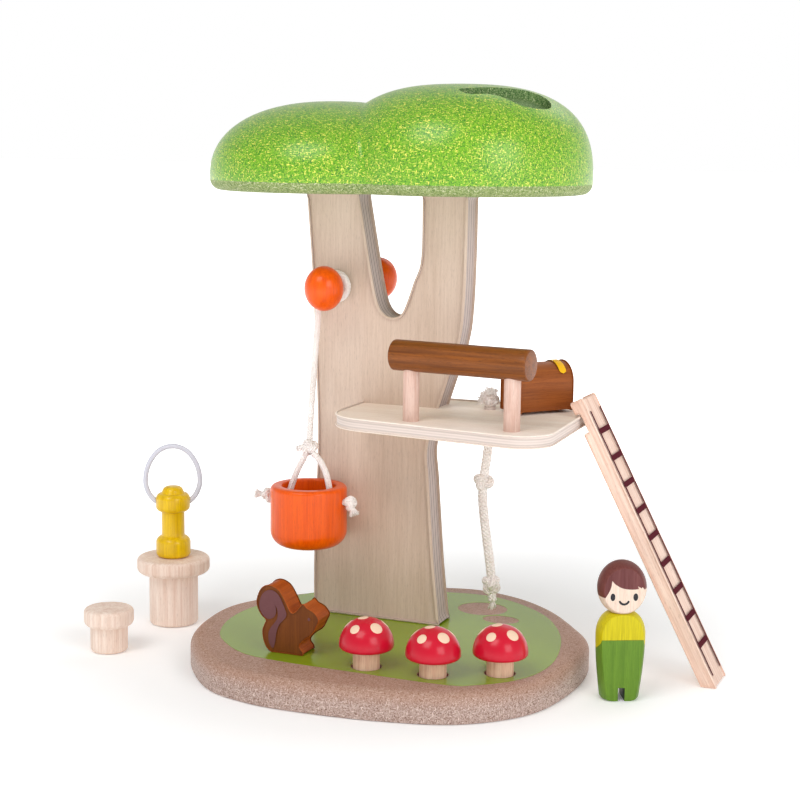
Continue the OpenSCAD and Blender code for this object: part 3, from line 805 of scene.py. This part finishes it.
LADDER_INK = plain("ladder_ink", (94, 42, 50), rough=0.8, mottling=0.2, specular=0.0)
TAIL_INK = plain("tail_ink", (112, 70, 72), mottling=0.2)
STRAP = plain("strap_yellow", (246, 186, 20), rough=0.45, mottling=0.15)
WHITE_CORD = plain("white_cord", (208, 208, 218), mottling=0.05, shade=(194, 194, 206))
EYE_WHITE = plain("eye_rim", (240, 222, 206))


# ---- tree ----

BASE_OUTLINE = [
    (10, -129), (52, -125), (90, -113), (117.5, -84), (126.5, -40), (123, 0), (107.5, 27), (84, 55),
    (56, 73), (24, 78), (-20, 60), (-64, 25), (-87.5, -8), (-90.5, -40), (-80.5, -78), (-52, -114),
    (-22, -127)]
GROUND_OUTLINE = [
    (-68, -67), (-75, -40), (-72, -10), (-54, 28), (-16, 50), (24, 62), (48, 62), (71, 50), (91, 30),
    (107, -1), (115.5, -36), (115.5, -62), (108, -82), (92, -97.5), (76, -103.5), (20, -103), (-14, -102),
    (-37, -98), (-56, -84)]
STONES = [ellipse(49, 35, 14.5, 13), ellipse(66, 18, 10.5, 7.5)]
BASE_TOP, BASE_ROUND = 16, 6
# Place, height above the lowest and turn of each mushroom
MUSHROOMS = [(30, -91.8, 0.9, 39), (66.3, -90.6, 0, 38), (96.8, -74.5, 0.5, 43)]
HOLE_R, HOLE_DEEP = 7.9, 10
SCREW_X, SCREW_HOLE_R = 22, 4.5


def base():
    outline = smooth_loop(BASE_OUTLINE, 14)
    edge = [(1.0, 0.0), (0.3, 0.25), (0.0, 0.9)]
    edge += [(BASE_ROUND * (1 - cos(a)), BASE_TOP - BASE_ROUND * (1 - sin(a)))
             for a in np.radians(np.linspace(0, 90, 9))]
    rings = [[(x, y, z) for x, y in inset(outline, distance)] for distance, z in edge]
    board = make("base_board_shaped", skin(rings), BOARD, sharp=0)
    cut(board, *[shaft(x, y, BASE_TOP - HOLE_DEEP, BASE_TOP + 2, HOLE_R) for x, y, *_ in MUSHROOMS],
        *[shaft(side * SCREW_X, 0, -1, 4, SCREW_HOLE_R, 32) for side in (-1, 1)])
    dress(board, "tree", ["base_board"], sharp=50)
    holes = [ellipse(x, y, HOLE_R + 0.25, HOLE_R + 0.25, 48) for x, y, *_ in MUSHROOMS]
    film("ground_print", [smooth_loop(GROUND_OUTLINE, 8), *holes, *STONES], 0.12, GROUND, "tree",
         place((0, 0, BASE_TOP)))


TRUNK_RIGHT = [
    (38.5, 16), (34.6, 52), (31.2, 96), (29.8, 114), (33, 128), (37, 141), (42.5, 158), (48.3, 177),
    (50.4, 196), (51.3, 226), (51.5, 256)]
TRUNK_FORK = [
    (25.2, 256), (24.8, 221), (20.4, 207), (14.6, 191.5), (9.5, 188), (3.4, 189.6), (-0.9, 197), (-5.3, 217),
    (-12.4, 256)]
TRUNK_LEFT = [
    (-43.8, 256), (-40.4, 213), (-38.4, 173), (-37, 139), (-36.6, 113), (-37.6, 80), (-38.6, 46),
    (-38.5, 16)]


def trunk():
    outline = np.vstack([smooth_run(run, 8) for run in (TRUNK_RIGHT, TRUNK_FORK, TRUNK_LEFT)])
    shape = placed(slab(outline, -TRUNK_HALF, TRUNK_HALF, 1.3), UPRIGHT)
    make("trunk_panel_shaped", shape, TRUNK, "tree", ["trunk_panel", "canopy_dowels"], sharp=50)


# Middle, top and roundness of each lobe
LOBES = [((-30, 2), 305, 2.3), ((42.5, 7.5), 314.5, 2.7)]
LOBE_R, LOBE_LOW, LOBE_RIM = 70.5, 256, 6
LOBE_WAIST = LOBE_LOW + LOBE_RIM + 1
LEAF = [
    (52.5, -28), (56, -32.5), (60.5, -33.5), (65, -31), (70, -28), (76, -27), (82, -27), (88, -24.5),
    (93, -18.5), (96, -10.5), (95, -3.5), (91, 1.5), (85, 3.5), (79, 1.5), (74, -5), (69, -11), (64, -16.5),
    (58, -23)]
LEAF_MIDDLE, LEAF_REACH, LEAF_DEEP = (78, -14), 32, 5


def lobe_height(x, y, lobe):
    (cx, cy), top, power = lobe
    r = min(1.0, hypot(x - cx, y - cy) / LOBE_R)
    return LOBE_WAIST + (top - LOBE_WAIST) * max(0.0, 1 - r**power) ** (1 / power)


def lobe_shape(lobe):
    (cx, cy), top, power = lobe
    profile = [(0, LOBE_LOW)] + arc((LOBE_R - LOBE_RIM, LOBE_LOW + LOBE_RIM), LOBE_RIM, -90, 0, 8)
    for a in np.radians(np.linspace(2, 88, 44)):
        out, up = cos(a) ** (2 / power), sin(a) ** (2 / power)
        profile.append((LOBE_R * out, LOBE_WAIST + (top - LOBE_WAIST) * up))
    return placed(turned(profile + [(0, top)], 128), place((cx, cy, 0)))


def leaf_tool():
    """Closed shape whose floor follows the right lobe at the depth of the recess."""
    (mx, my), leaf = LEAF_MIDDLE, smooth_loop(LEAF, 5)
    rings = []
    for share in (0.02, 0.2, 0.4, 0.6, 0.8, 1.0):
        ring = [(mx + (x - mx) * share, my + (y - my) * share) for x, y in leaf]
        rings.append([(x, y, lobe_height(x, y, LOBES[1]) - LEAF_DEEP) for x, y in ring])
    return skin(rings + [[(x, y, 330) for x, y in leaf]])


def canopy_kind(x, y, z):
    """Number of a face's material: top, rim or recess."""
    near = hypot(x - LEAF_MIDDLE[0], y - LEAF_MIDDLE[1]) < LEAF_REACH
    if near and 285 < z < lobe_height(x, y, LOBES[1]) - 0.9:
        return 2
    return 1 if z < LOBE_LOW + 5.7 else 0


def canopy():
    whole = make("canopy_shaped", joined(*[lobe_shape(lobe) for lobe in LOBES]), CANOPY_MATS, sharp=0)
    union = whole.modifiers.new("union", "REMESH")
    union.mode, union.voxel_size = "VOXEL", 1.5 * MM
    soften = whole.modifiers.new("soften", "SMOOTH")
    soften.factor, soften.iterations = 0.5, 8
    whole.data = evaluated(whole)
    whole.modifiers.clear()
    cut(whole, leaf_tool())
    mesh = whole.data
    while len(mesh.materials) < len(CANOPY_MATS):
        mesh.materials.append(CANOPY_MATS[len(mesh.materials)])
    kinds = [canopy_kind(*(c / MM for c in face.center)) for face in mesh.polygons]
    mesh.polygons.foreach_set("material_index", kinds)
    dress(whole, "tree", ["canopy"], sharp=40)


ROPE_HOLE_R = 3.05
POSTS = {"left": (37.6, -52.7), "right": (95.4, -59.6)}
POST_R = 4.3
LOG_AT, LOG_TURN, LOG_LEN, LOG_R = (66.4, -56.15, 173.3), -6.8, 78.4, 8.15


def platform():
    outline = round_corners([(-9.5, -61.6), (119.2, -80.6), (115.2, 24.5), (-9.5, 24.5)], [26, 18, 8, 8], 12)
    board = make("platform_shaped", slab(outline, PLATFORM_LOW, PLATFORM_TOP, 0.9), PLATFORM, sharp=0)
    cut(board, shaft(*ROPE_ROUTE[0][:2], PLATFORM_LOW - 1, PLATFORM_TOP + 1, ROPE_HOLE_R, 40))
    dress(board, "tree", ["platform"], sharp=50)
    low, high = PLATFORM_LOW + 3, LOG_AT[2] - 1
    for word, (x, y) in POSTS.items():
        sides = [(POST_R, z) for z in (low, PLATFORM_TOP + 8, PLATFORM_TOP + 20, high)]
        post = placed(turned([(0, low), *sides, (0, high)], 48), place((x, y, 0)))
        make(f"rail_post_{word}_turned", post, PINK, "tree", [f"rail_post_{word}"])


def log():
    ends = rounded_disc(LOG_R, -LOG_LEN / 2, LOG_LEN / 2, 0.9, 0.9, 4)
    body = ends[:6] + [(LOG_R, z) for z in np.linspace(-LOG_LEN / 2 + 4, LOG_LEN / 2 - 4, 12)] + ends[6:]
    make("rail_log_turned", turned(body, 72), LOG, "tree", ["rail_log"],
         matrix=place(LOG_AT, LOG_TURN) @ Matrix.Rotation(radians(90), 4, "Y"))


KNOB_HALF, KNOB_R, KNOB_BORE_R, KNOB_BORE = 12.3, 10.7, 3.05, 14
AXLE_R, AXLE_FROM, AXLE_TO = 3, -21, 42


def knob(word, y, way):
    """Egg-shaped ball with a blind bore on the axle's side."""
    egg = [(0, -KNOB_HALF)] + arc((0, 0), (KNOB_R, KNOB_HALF), -86, 86, 47) + [(0, KNOB_HALF)]
    bore = [(0, 0), (KNOB_BORE_R, 0), (KNOB_BORE_R, way * KNOB_BORE), (0, way * KNOB_BORE)][::way]
    ball = make(f"knob_{word}_shaped", turned(egg, 72), ORANGE, sharp=0)
    cut(ball, placed(turned(bore, 40), place((0, 0, 0), -90, "X")))
    soften_edges(ball, 0.4)
    dress(ball, "pulley", [f"knob_{word}"], sharp=0, matrix=place((AXLE_X, y, AXLE_Z)))


def pulley():
    knob("front", -27.6, 1)
    knob("back", 50, -1)
    axle = [(0, AXLE_FROM)] + [(AXLE_R, y) for y in (AXLE_FROM, 0, 30, AXLE_TO)] + [(0, AXLE_TO)]
    make("pulley_axle_turned", turned(axle, 40), DOWEL, "pulley", ["pulley_axle"],
         matrix=place((AXLE_X, 0, AXLE_Z), -90, "X"))


def bucket():
    r, bore, height, floor = 21.25, 15, 34.2, 6
    profile = ([(0, 0), (5, 0), (r - 9, 0)] + arc((r - 9, 9), 9, -84, 0, 12) + [(r, 14), (r, 20), (r, 26)]
               + arc((r - 2.4, height - 2.4), 2.4, 0, 90, 6)
               + arc((bore + 0.9, height - 0.9), 0.9, 90, 180, 4)
               + [(bore, 24), (bore, 16), (bore, floor + 2)]
               + arc((bore - 1.5, floor + 1.5), 1.5, 0, -90, 4)[1:] + [(5, floor), (0, floor)])
    pail = make("bucket_turned", turned(profile, 96), ORANGE, sharp=0)
    holes = turned([(0, -30), (1.95, -30), (1.95, 30), (0, 30)], 32)
    cut(pail, placed(holes, place((0, 0, BUCKET_PIN_Z - BUCKET[2]), 90, "Y")))
    dress(pail, "bucket", ["bucket"], sharp=40, matrix=place(BUCKET))


# ---- loose pieces ----

CHEST_LONG, CHEST_WIDE, CHEST_SIDE, CHEST_LID = 34, 21.5, 15.5, 11.3
STRAP_HALF, STRAP_THICK = 2.2, 0.08


def strap(middle):
    """Painted strap over the lid with rounded ends."""
    verts, faces = [], []
    turns = np.radians(np.linspace(26, 154, 28))
    last = len(turns) - 1
    for i, a in enumerate(turns):
        end = 1 - min(1.0, min(i, last - i) / 2.5)
        half = max(STRAP_HALF * sqrt(1 - end**2), 0.05)
        for across, lift in ((-1, 0.0), (-0.94, STRAP_THICK), (0.94, STRAP_THICK), (1, 0.0)):
            verts.append((middle + across * half, CHEST_WIDE / 2 + (CHEST_WIDE / 2 + lift) * cos(a),
                          CHEST_SIDE + (CHEST_LID + lift) * sin(a)))
    for i in range(last):
        faces += [(4 * i + j, 4 * i + 4 + j, 4 * i + 5 + j, 4 * i + 1 + j) for j in range(3)]
    return verts, faces


def chest():
    wide, side = CHEST_WIDE, CHEST_SIDE
    corners = [(0, 0), (wide, 0), (wide, side + 0.01), (0, side + 0.01)]
    lid = arc((wide / 2, side), (wide / 2, CHEST_LID), 3, 177, 29)
    outline = round_corners(corners, [0.9, 0.9, 0, 0], 4)[:11] + lid + [(0, side)]
    stand = place((85.3, -13.6, PLATFORM_TOP), 50.6)
    shape = placed(slab(outline, 0, CHEST_LONG, 0.7, 3), SIDEWAYS)
    make("treasure_chest", shape, CHEST, "chest", ["chest"], sharp=30, matrix=stand)
    for k, share in enumerate((0.19, 0.81)):
        make(f"chest_strap_{k + 1}", strap(CHEST_LONG * share), STRAP, "chest", matrix=stand)


LADDER_AT, LADDER_LEAN, LADDER_T, LADDER_W, LADDER_LEN = (195, -6.8, 0), 27.4, 8.1, 24.5, 169.2
HOOK_FROM, HOOK_TO, HOOK_DEEP = 151.2, 162, 3
PRINT_LOW, PRINT_HIGH, RAIL_WIDE = 7, 161, 1.7
RUNGS, FIRST_RUNG, RUNG_STEP, RUNG_HIGH = 9, 10.5, 15.6, 3
# Drawn along and across the bar: the length stands up, the thickness runs along X and the width along Y
BAR_UP = Matrix(((0, -1, 0, 0), (0, 0, 1, 0), (1, 0, 0, 0), (0, 0, 0, 1)))


def ladder():
    t, floor = LADDER_T, LADDER_T - HOOK_DEEP
    heel = t * tan(radians(LADDER_LEAN))
    outline = round_corners([(0, 0), (LADDER_LEN, 0), (LADDER_LEN, t), (HOOK_TO, t), (HOOK_TO, floor),
                             (HOOK_FROM, floor), (HOOK_FROM, t), (heel, t)],
                            [0.8, 1.5, 1.2, 0.8, 0.3, 0.3, 0.8, 0.8], 4)
    lean = place(LADDER_AT, -LADDER_LEAN, "Y")
    make("ladder_bar", placed(slab(outline, 0, LADDER_W, 0.7, 3), BAR_UP), LADDER, "ladder",
         ["ladder"], sharp=40, matrix=lean)
    bars = [(x, x + RAIL_WIDE, PRINT_LOW, PRINT_HIGH) for x in (2.4, LADDER_W - 3.6)]
    for k in range(RUNGS):
        top = PRINT_HIGH - FIRST_RUNG - RUNG_STEP * k
        bars.append((3.2, LADDER_W - 2.8, top - RUNG_HIGH, top))
    for k, (x0, x1, z0, z1) in enumerate(bars):
        film(f"ladder_print_{k + 1:02d}", [[(x0, z0), (x1, z0), (x1, z1), (x0, z1)]], 0.12 if k > 1 else 0.1,
             LADDER_INK, "ladder", lean @ SIDEWAYS)


CAP_Z, CAP_R, CAP_H, CAP_EDGE = 24.9, 14.25, 16.3, 2
CAP_DOME = CAP_H - CAP_EDGE
# Angle from the top and radius of each spot in the ring round a cap
SPOTS = [(44, 3.2), (43, 3.1), (45, 3.3), (44, 2.9), (40, 3.6)]


def cap_point(polar, around, lift=0.0):
    """Point on a cap's dome, polar angle measured from the top."""
    a, b = radians(90 - polar), radians(around)
    n = Vector((cos(a) / CAP_R, sin(a) / CAP_DOME)).normalized()
    r, z = CAP_R * cos(a) + n.x * lift, CAP_EDGE + CAP_DOME * sin(a) + n.y * lift
    return Vector((r * cos(b), r * sin(b), z))


def spot(polar, around, radius, sides=28):
    """Round painted spot that follows the cap's dome."""
    verts = [cap_point(polar, around, 0.14)]
    centre, b = cap_point(polar, around), radians(around)
    east = Vector((-sin(b), cos(b), 0))
    down = (cap_point(polar + 4, around) - cap_point(polar - 4, around)).normalized()
    for share, lift in ((0.5, 0.14), (0.86, 0.12), (1.0, -0.12)):
        for t in [TAU * i / sides for i in range(sides)]:
            p = centre + radius * share * (east * cos(t) + down * sin(t))
            a = atan2(max(0.0, (p.z - CAP_EDGE) / CAP_DOME), hypot(p.x, p.y) / CAP_R)
            verts.append(cap_point(90 - degrees(a), degrees(atan2(p.y, p.x)), lift))
    faces = []
    for i in range(sides):
        j = (i + 1) % sides
        faces.append((0, 1 + i, 1 + j))
        faces += [(k + i, k + sides + i, k + sides + j, k + j) for k in (1, 1 + sides)]
    return verts, faces


def mushroom(number, x, y, up, turn):
    dome = [(hypot(p.x, p.y), p.z) for p in (cap_point(polar, 0) for polar in np.linspace(86, 3, 26))]
    profile = ([(0, 0.6), (6.6, 0.6), (7.4, 0.1), (CAP_R - 2.6, 0)] + arc((CAP_R - 2, 2), 2, -60, 0, 5)
               + dome + [(0, CAP_H)])
    body, stand = f"mushroom_{number}", place((x, y, CAP_Z + up), turn)
    make(f"mushroom_cap_{number}_turned", turned(profile, 72), RED, body,
         [f"mushroom_cap_{number}"], matrix=stand)
    spots = [spot(8, 144, 3.1)] + [spot(polar, 72 * k, r) for k, (polar, r) in enumerate(SPOTS)]
    make(f"mushroom_spots_{number}", joined(*spots), CREAM, body, matrix=stand)
    stem = [(0, -19), (6, -19)] + [(7, z) for z in (-18, -8, -2, 1)] + [(0, 1)]
    make(f"mushroom_stem_{number}_turned", turned(stem, 56), STEM, body,
         [f"mushroom_stem_{number}"], matrix=stand)


SQUIRREL_OUTLINE = [
    (-34.2, 43.9), (-31.5, 50.2), (-26.6, 52.5), (-21, 50.3), (-17.3, 45), (-14.2, 39.4), (-11.8, 39.4),
    (-8.9, 42.7), (-7, 44.4), (-4.6, 42.4), (-0.6, 40.4), (2, 36.7), (0.6, 32.8), (-1.8, 28.4), (-6, 25.2),
    (-9, 21.4), (-7, 18), (-8, 16), (-17, 16), (-25.4, 16), (-29.4, 20), (-30.9, 26.6), (-29.6, 31),
    (-28.9, 33.2), (-31.6, 35.8), (-33.6, 39.4)]
TAIL_OUTLINE = [
    (-23.5, 42), (-22.6, 40.2), (-22.6, 37.8), (-23.5, 35.8), (-25.2, 34.5), (-27, 34.1), (-29.1, 34.9),
    (-31, 36.8), (-32.1, 39.3), (-32.3, 42), (-31.5, 45.4), (-29.6, 48.2), (-26.7, 49.8), (-23.8, 49.6),
    (-21.2, 47.8), (-19.5, 45.2), (-18, 42), (-16.5, 38), (-17.2, 35.7), (-18.8, 33.9), (-20.6, 31.8),
    (-22, 28.6), (-22.7, 25.2), (-23.1, 21.9), (-24.1, 18.8), (-25.5, 19.2), (-26.7, 21.5), (-27.1, 24.7),
    (-26.7, 27.5), (-25.2, 30.1), (-23.3, 32.5), (-22, 34.6), (-21.5, 37.4), (-22.1, 40.3)]
SQUIRREL_FRONT, SQUIRREL_THICK = -90, 15


def squirrel():
    outline = [(x, max(z, BASE_TOP + 0.02)) for x, z in smooth_loop(SQUIRREL_OUTLINE, 6)][::-1]
    shape = placed(slab(outline, -(SQUIRREL_FRONT + SQUIRREL_THICK), -SQUIRREL_FRONT, 0.5, 3), UPRIGHT)
    cutout = make("squirrel_cutout", shape, [SQUIRREL, SQUIRREL_EDGE], sharp=35)
    kinds = [0 if abs(face.normal.y) > 0.9 else 1 for face in cutout.data.polygons]
    cutout.data.polygons.foreach_set("material_index", kinds)
    dress(cutout, "squirrel", ["squirrel"], sharp=35)
    front = place((0, SQUIRREL_FRONT, 0)) @ UPRIGHT
    for word, outline, thick in (("tail", smooth_loop(TAIL_OUTLINE, 4)[::-1], 0.08),
                                 ("eye", ellipse(-3.5, 36.5, 0.75, 0.85, 20), 0.1)):
        film(f"squirrel_{word}_print", [outline], thick, TAIL_INK, "squirrel", front)


TABLE_AT, TABLE_HIGH = (-127.9, -12.6, 0), 40


def stump(name, body, nodes, at, r, leg_r, high, thick):
    """Round seat or table top on a turned leg."""
    low = high - thick
    make(f"{name}_top_turned", turned(rounded_disc(r, low, high, 3.2, 2.3, 7), 80), STUMP, body,
         nodes[:1], matrix=place(at))
    ends = rounded_disc(leg_r, 0, low + 2, 1.9, 0.4, 5)
    leg = ends[:7] + [(leg_r, z) for z in np.linspace(4, low - 1, 6)] + ends[7:]
    make(f"{name}_leg_turned", turned(leg, 64), STUMP, body, nodes[1:], matrix=place(at))


def lantern():
    foot = [(0, 0.03), (6.4, 0.03)] + arc((7.5, 2.6), 2.6, -75, 0, 6) + arc((6.2, 8.6), 3.9, 0, 62, 7)
    post = [(6.9, 12.7), (6.7, 13.8), (6.7, 20), (6.7, 26.3), (6.9, 27.1)]
    head = (arc((7, 30.3), 3, -75, 0, 6) + arc((6.3, 34.6), 3.7, 0, 60, 7) + [(6.9, 38.1)]
            + arc((2.9, 38.6), 3.4, 12, 84, 6) + [(0, 42)])
    stand = place((*TABLE_AT[:2], TABLE_HIGH), 28)
    make("lantern_turned", turned(foot + post + head, 72), YELLOW, "lantern",
         ["lantern_post"], matrix=stand)
    # Two arcs up each side, and a third over the top that meets them smoothly
    right = arc((0, 45.5), 15.8, -60, 0, 14)[:-1] + arc((-8.5, 45.5), 24.3, 0, 39.77, 12)[:-1]
    top = arc((0, 52.574), 13.241, 39.77, 140.23, 24)
    path = [(x, 0, z) for x, z in right + top + [(-x, z) for x, z in right[::-1]]]
    make("lantern_cord_loop", tube(path, 1.5, 16), WHITE_CORD, "lantern", ["lantern_loop"],
         sharp=0, matrix=stand)


DOLL = place((150.1, -39.5, 0), 26)
DOLL_HALF, NECK, HEAD_R, HEAD_HALF = 7.0, 46, 12.7, 14.25
HEAD_MIDDLE = NECK + 12.75


def flats(low, high):
    """Two boxes that cut a turned shape flat in front and behind."""
    return box(-20, 20, -30, -DOLL_HALF, low, high), box(-20, 20, DOLL_HALF, 30, low, high)


def doll_body():
    profile = [(0, 0), (8.4, 0), (9.5, 0.4), (10.2, 1.4)]
    profile += [(10.2 + 2.6 * sin(pi / 2 * s), 1.4 + 32.4 * s) for s in np.linspace(0, 1, 15)[1:]]
    profile += arc((4.9, 34), (7.9, 12), 5, 86, 17) + [(4.0, NECK), (0, NECK)]
    body = make("doll_body_shaped", turned(profile, 96), CLOTHES, sharp=0)
    cut(body, *flats(-2, 60), box(-1.7, 1.7, -20, 20, -2, 7))
    soften_edges(body, 0.6)
    dress(body, "doll", ["doll_body", "doll_neck_pin"], sharp=0, matrix=DOLL)


def doll_head():
    egg = [(0, -HEAD_HALF)] + arc((0, 0), (HEAD_R, HEAD_HALF), -87, 87, 58) + [(0, HEAD_HALF)]
    head = make("doll_head_shaped", turned(egg, 96), HEAD, sharp=0)
    cut(head, *flats(-20, 20), box(-20, 20, -30, 30, -20, NECK - HEAD_MIDDLE))
    soften_edges(head, 0.5)
    dress(head, "doll_head", ["doll_head"], sharp=0, matrix=DOLL @ place((0, 0, HEAD_MIDDLE)))


def doll_face():
    """Printed fringe, and a plain smiling face, drawn round the middle of the head's flat front."""
    face = DOLL @ place((0, -DOLL_HALF, HEAD_MIDDLE)) @ UPRIGHT
    side = [(-9.6, -3.75), (-8.2, -1.5), (-7.0, 1.4), (-6.4, 5.0)]
    brow = [(-6.4, 5.0), (-5.2, 3.6), (-3.6, 2.4), (-1.1, 1.1), (2.2, 0.5), (5.5, 0.45), (7.4, 0.7)]
    fringe = arc((0, 0), (10.1, 11.35), 4, 199, 49)
    fringe += [tuple(q) for q in (*smooth_run(side, 6)[1:], *smooth_run(brow, 5)[1:])]
    fringe += [(6.9, 2.1), (7.7, 1.7), (8.9, 1.0), (9.2, 1.7)]
    film("doll_fringe", [fringe], 0.06, HAIR, "doll_head", face)
    smile = (arc((0, -4.9), 3.0, -155, -25, 20) + arc((2.22, -5.94), 0.55, -25, 155, 6)
             + arc((0, -4.9), 1.9, -25, -155, 20) + arc((-2.22, -5.94), 0.55, 25, 205, 6))
    prints = [(ellipse(x, -3.55, rx, rz), ink, thick)
              for rx, rz, ink, thick in ((1.55, 2.3, EYE_WHITE, 0.05), (1.25, 2.0, INK, 0.09))
              for x in (-5.9, 5.9)]
    for k, (outline, ink, thick) in enumerate(prints + [(smile, INK, 0.09)]):
        film(f"doll_face_print_{k + 1}", [outline], thick, ink, "doll_head", face)


def screws():
    """The two screws under the base keep their CAD shape and get a zinc finish."""
    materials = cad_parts["trunk_screws"].data.materials
    materials.clear()
    p = Paint("zinc_plate", rough=0.35)
    p.surface("Metallic", 1.0)
    p.surface("Base Color", p.ramp(p.noise(p.coords()), [(0.3, (150, 152, 156)), (0.7, (190, 192, 196))]))
    materials.append(p.mat)


base()
trunk()
canopy()
platform()
log()
pulley()
bucket()
chest()
ladder()
for number, spec in enumerate(MUSHROOMS, 1):
    mushroom(number, *spec)
squirrel()
stump("stump_table", "table", ["stump_top", "stump_leg"], TABLE_AT, 21.3, 14.3, TABLE_HIGH, 9.3)
stump("stool", "stool", ["stool_seat", "stool_leg"], (-133.1, -76.4, 0), 13.8, 10.4, 24.5, 10)
lantern()
doll_body()
doll_head()
doll_face()
screws()
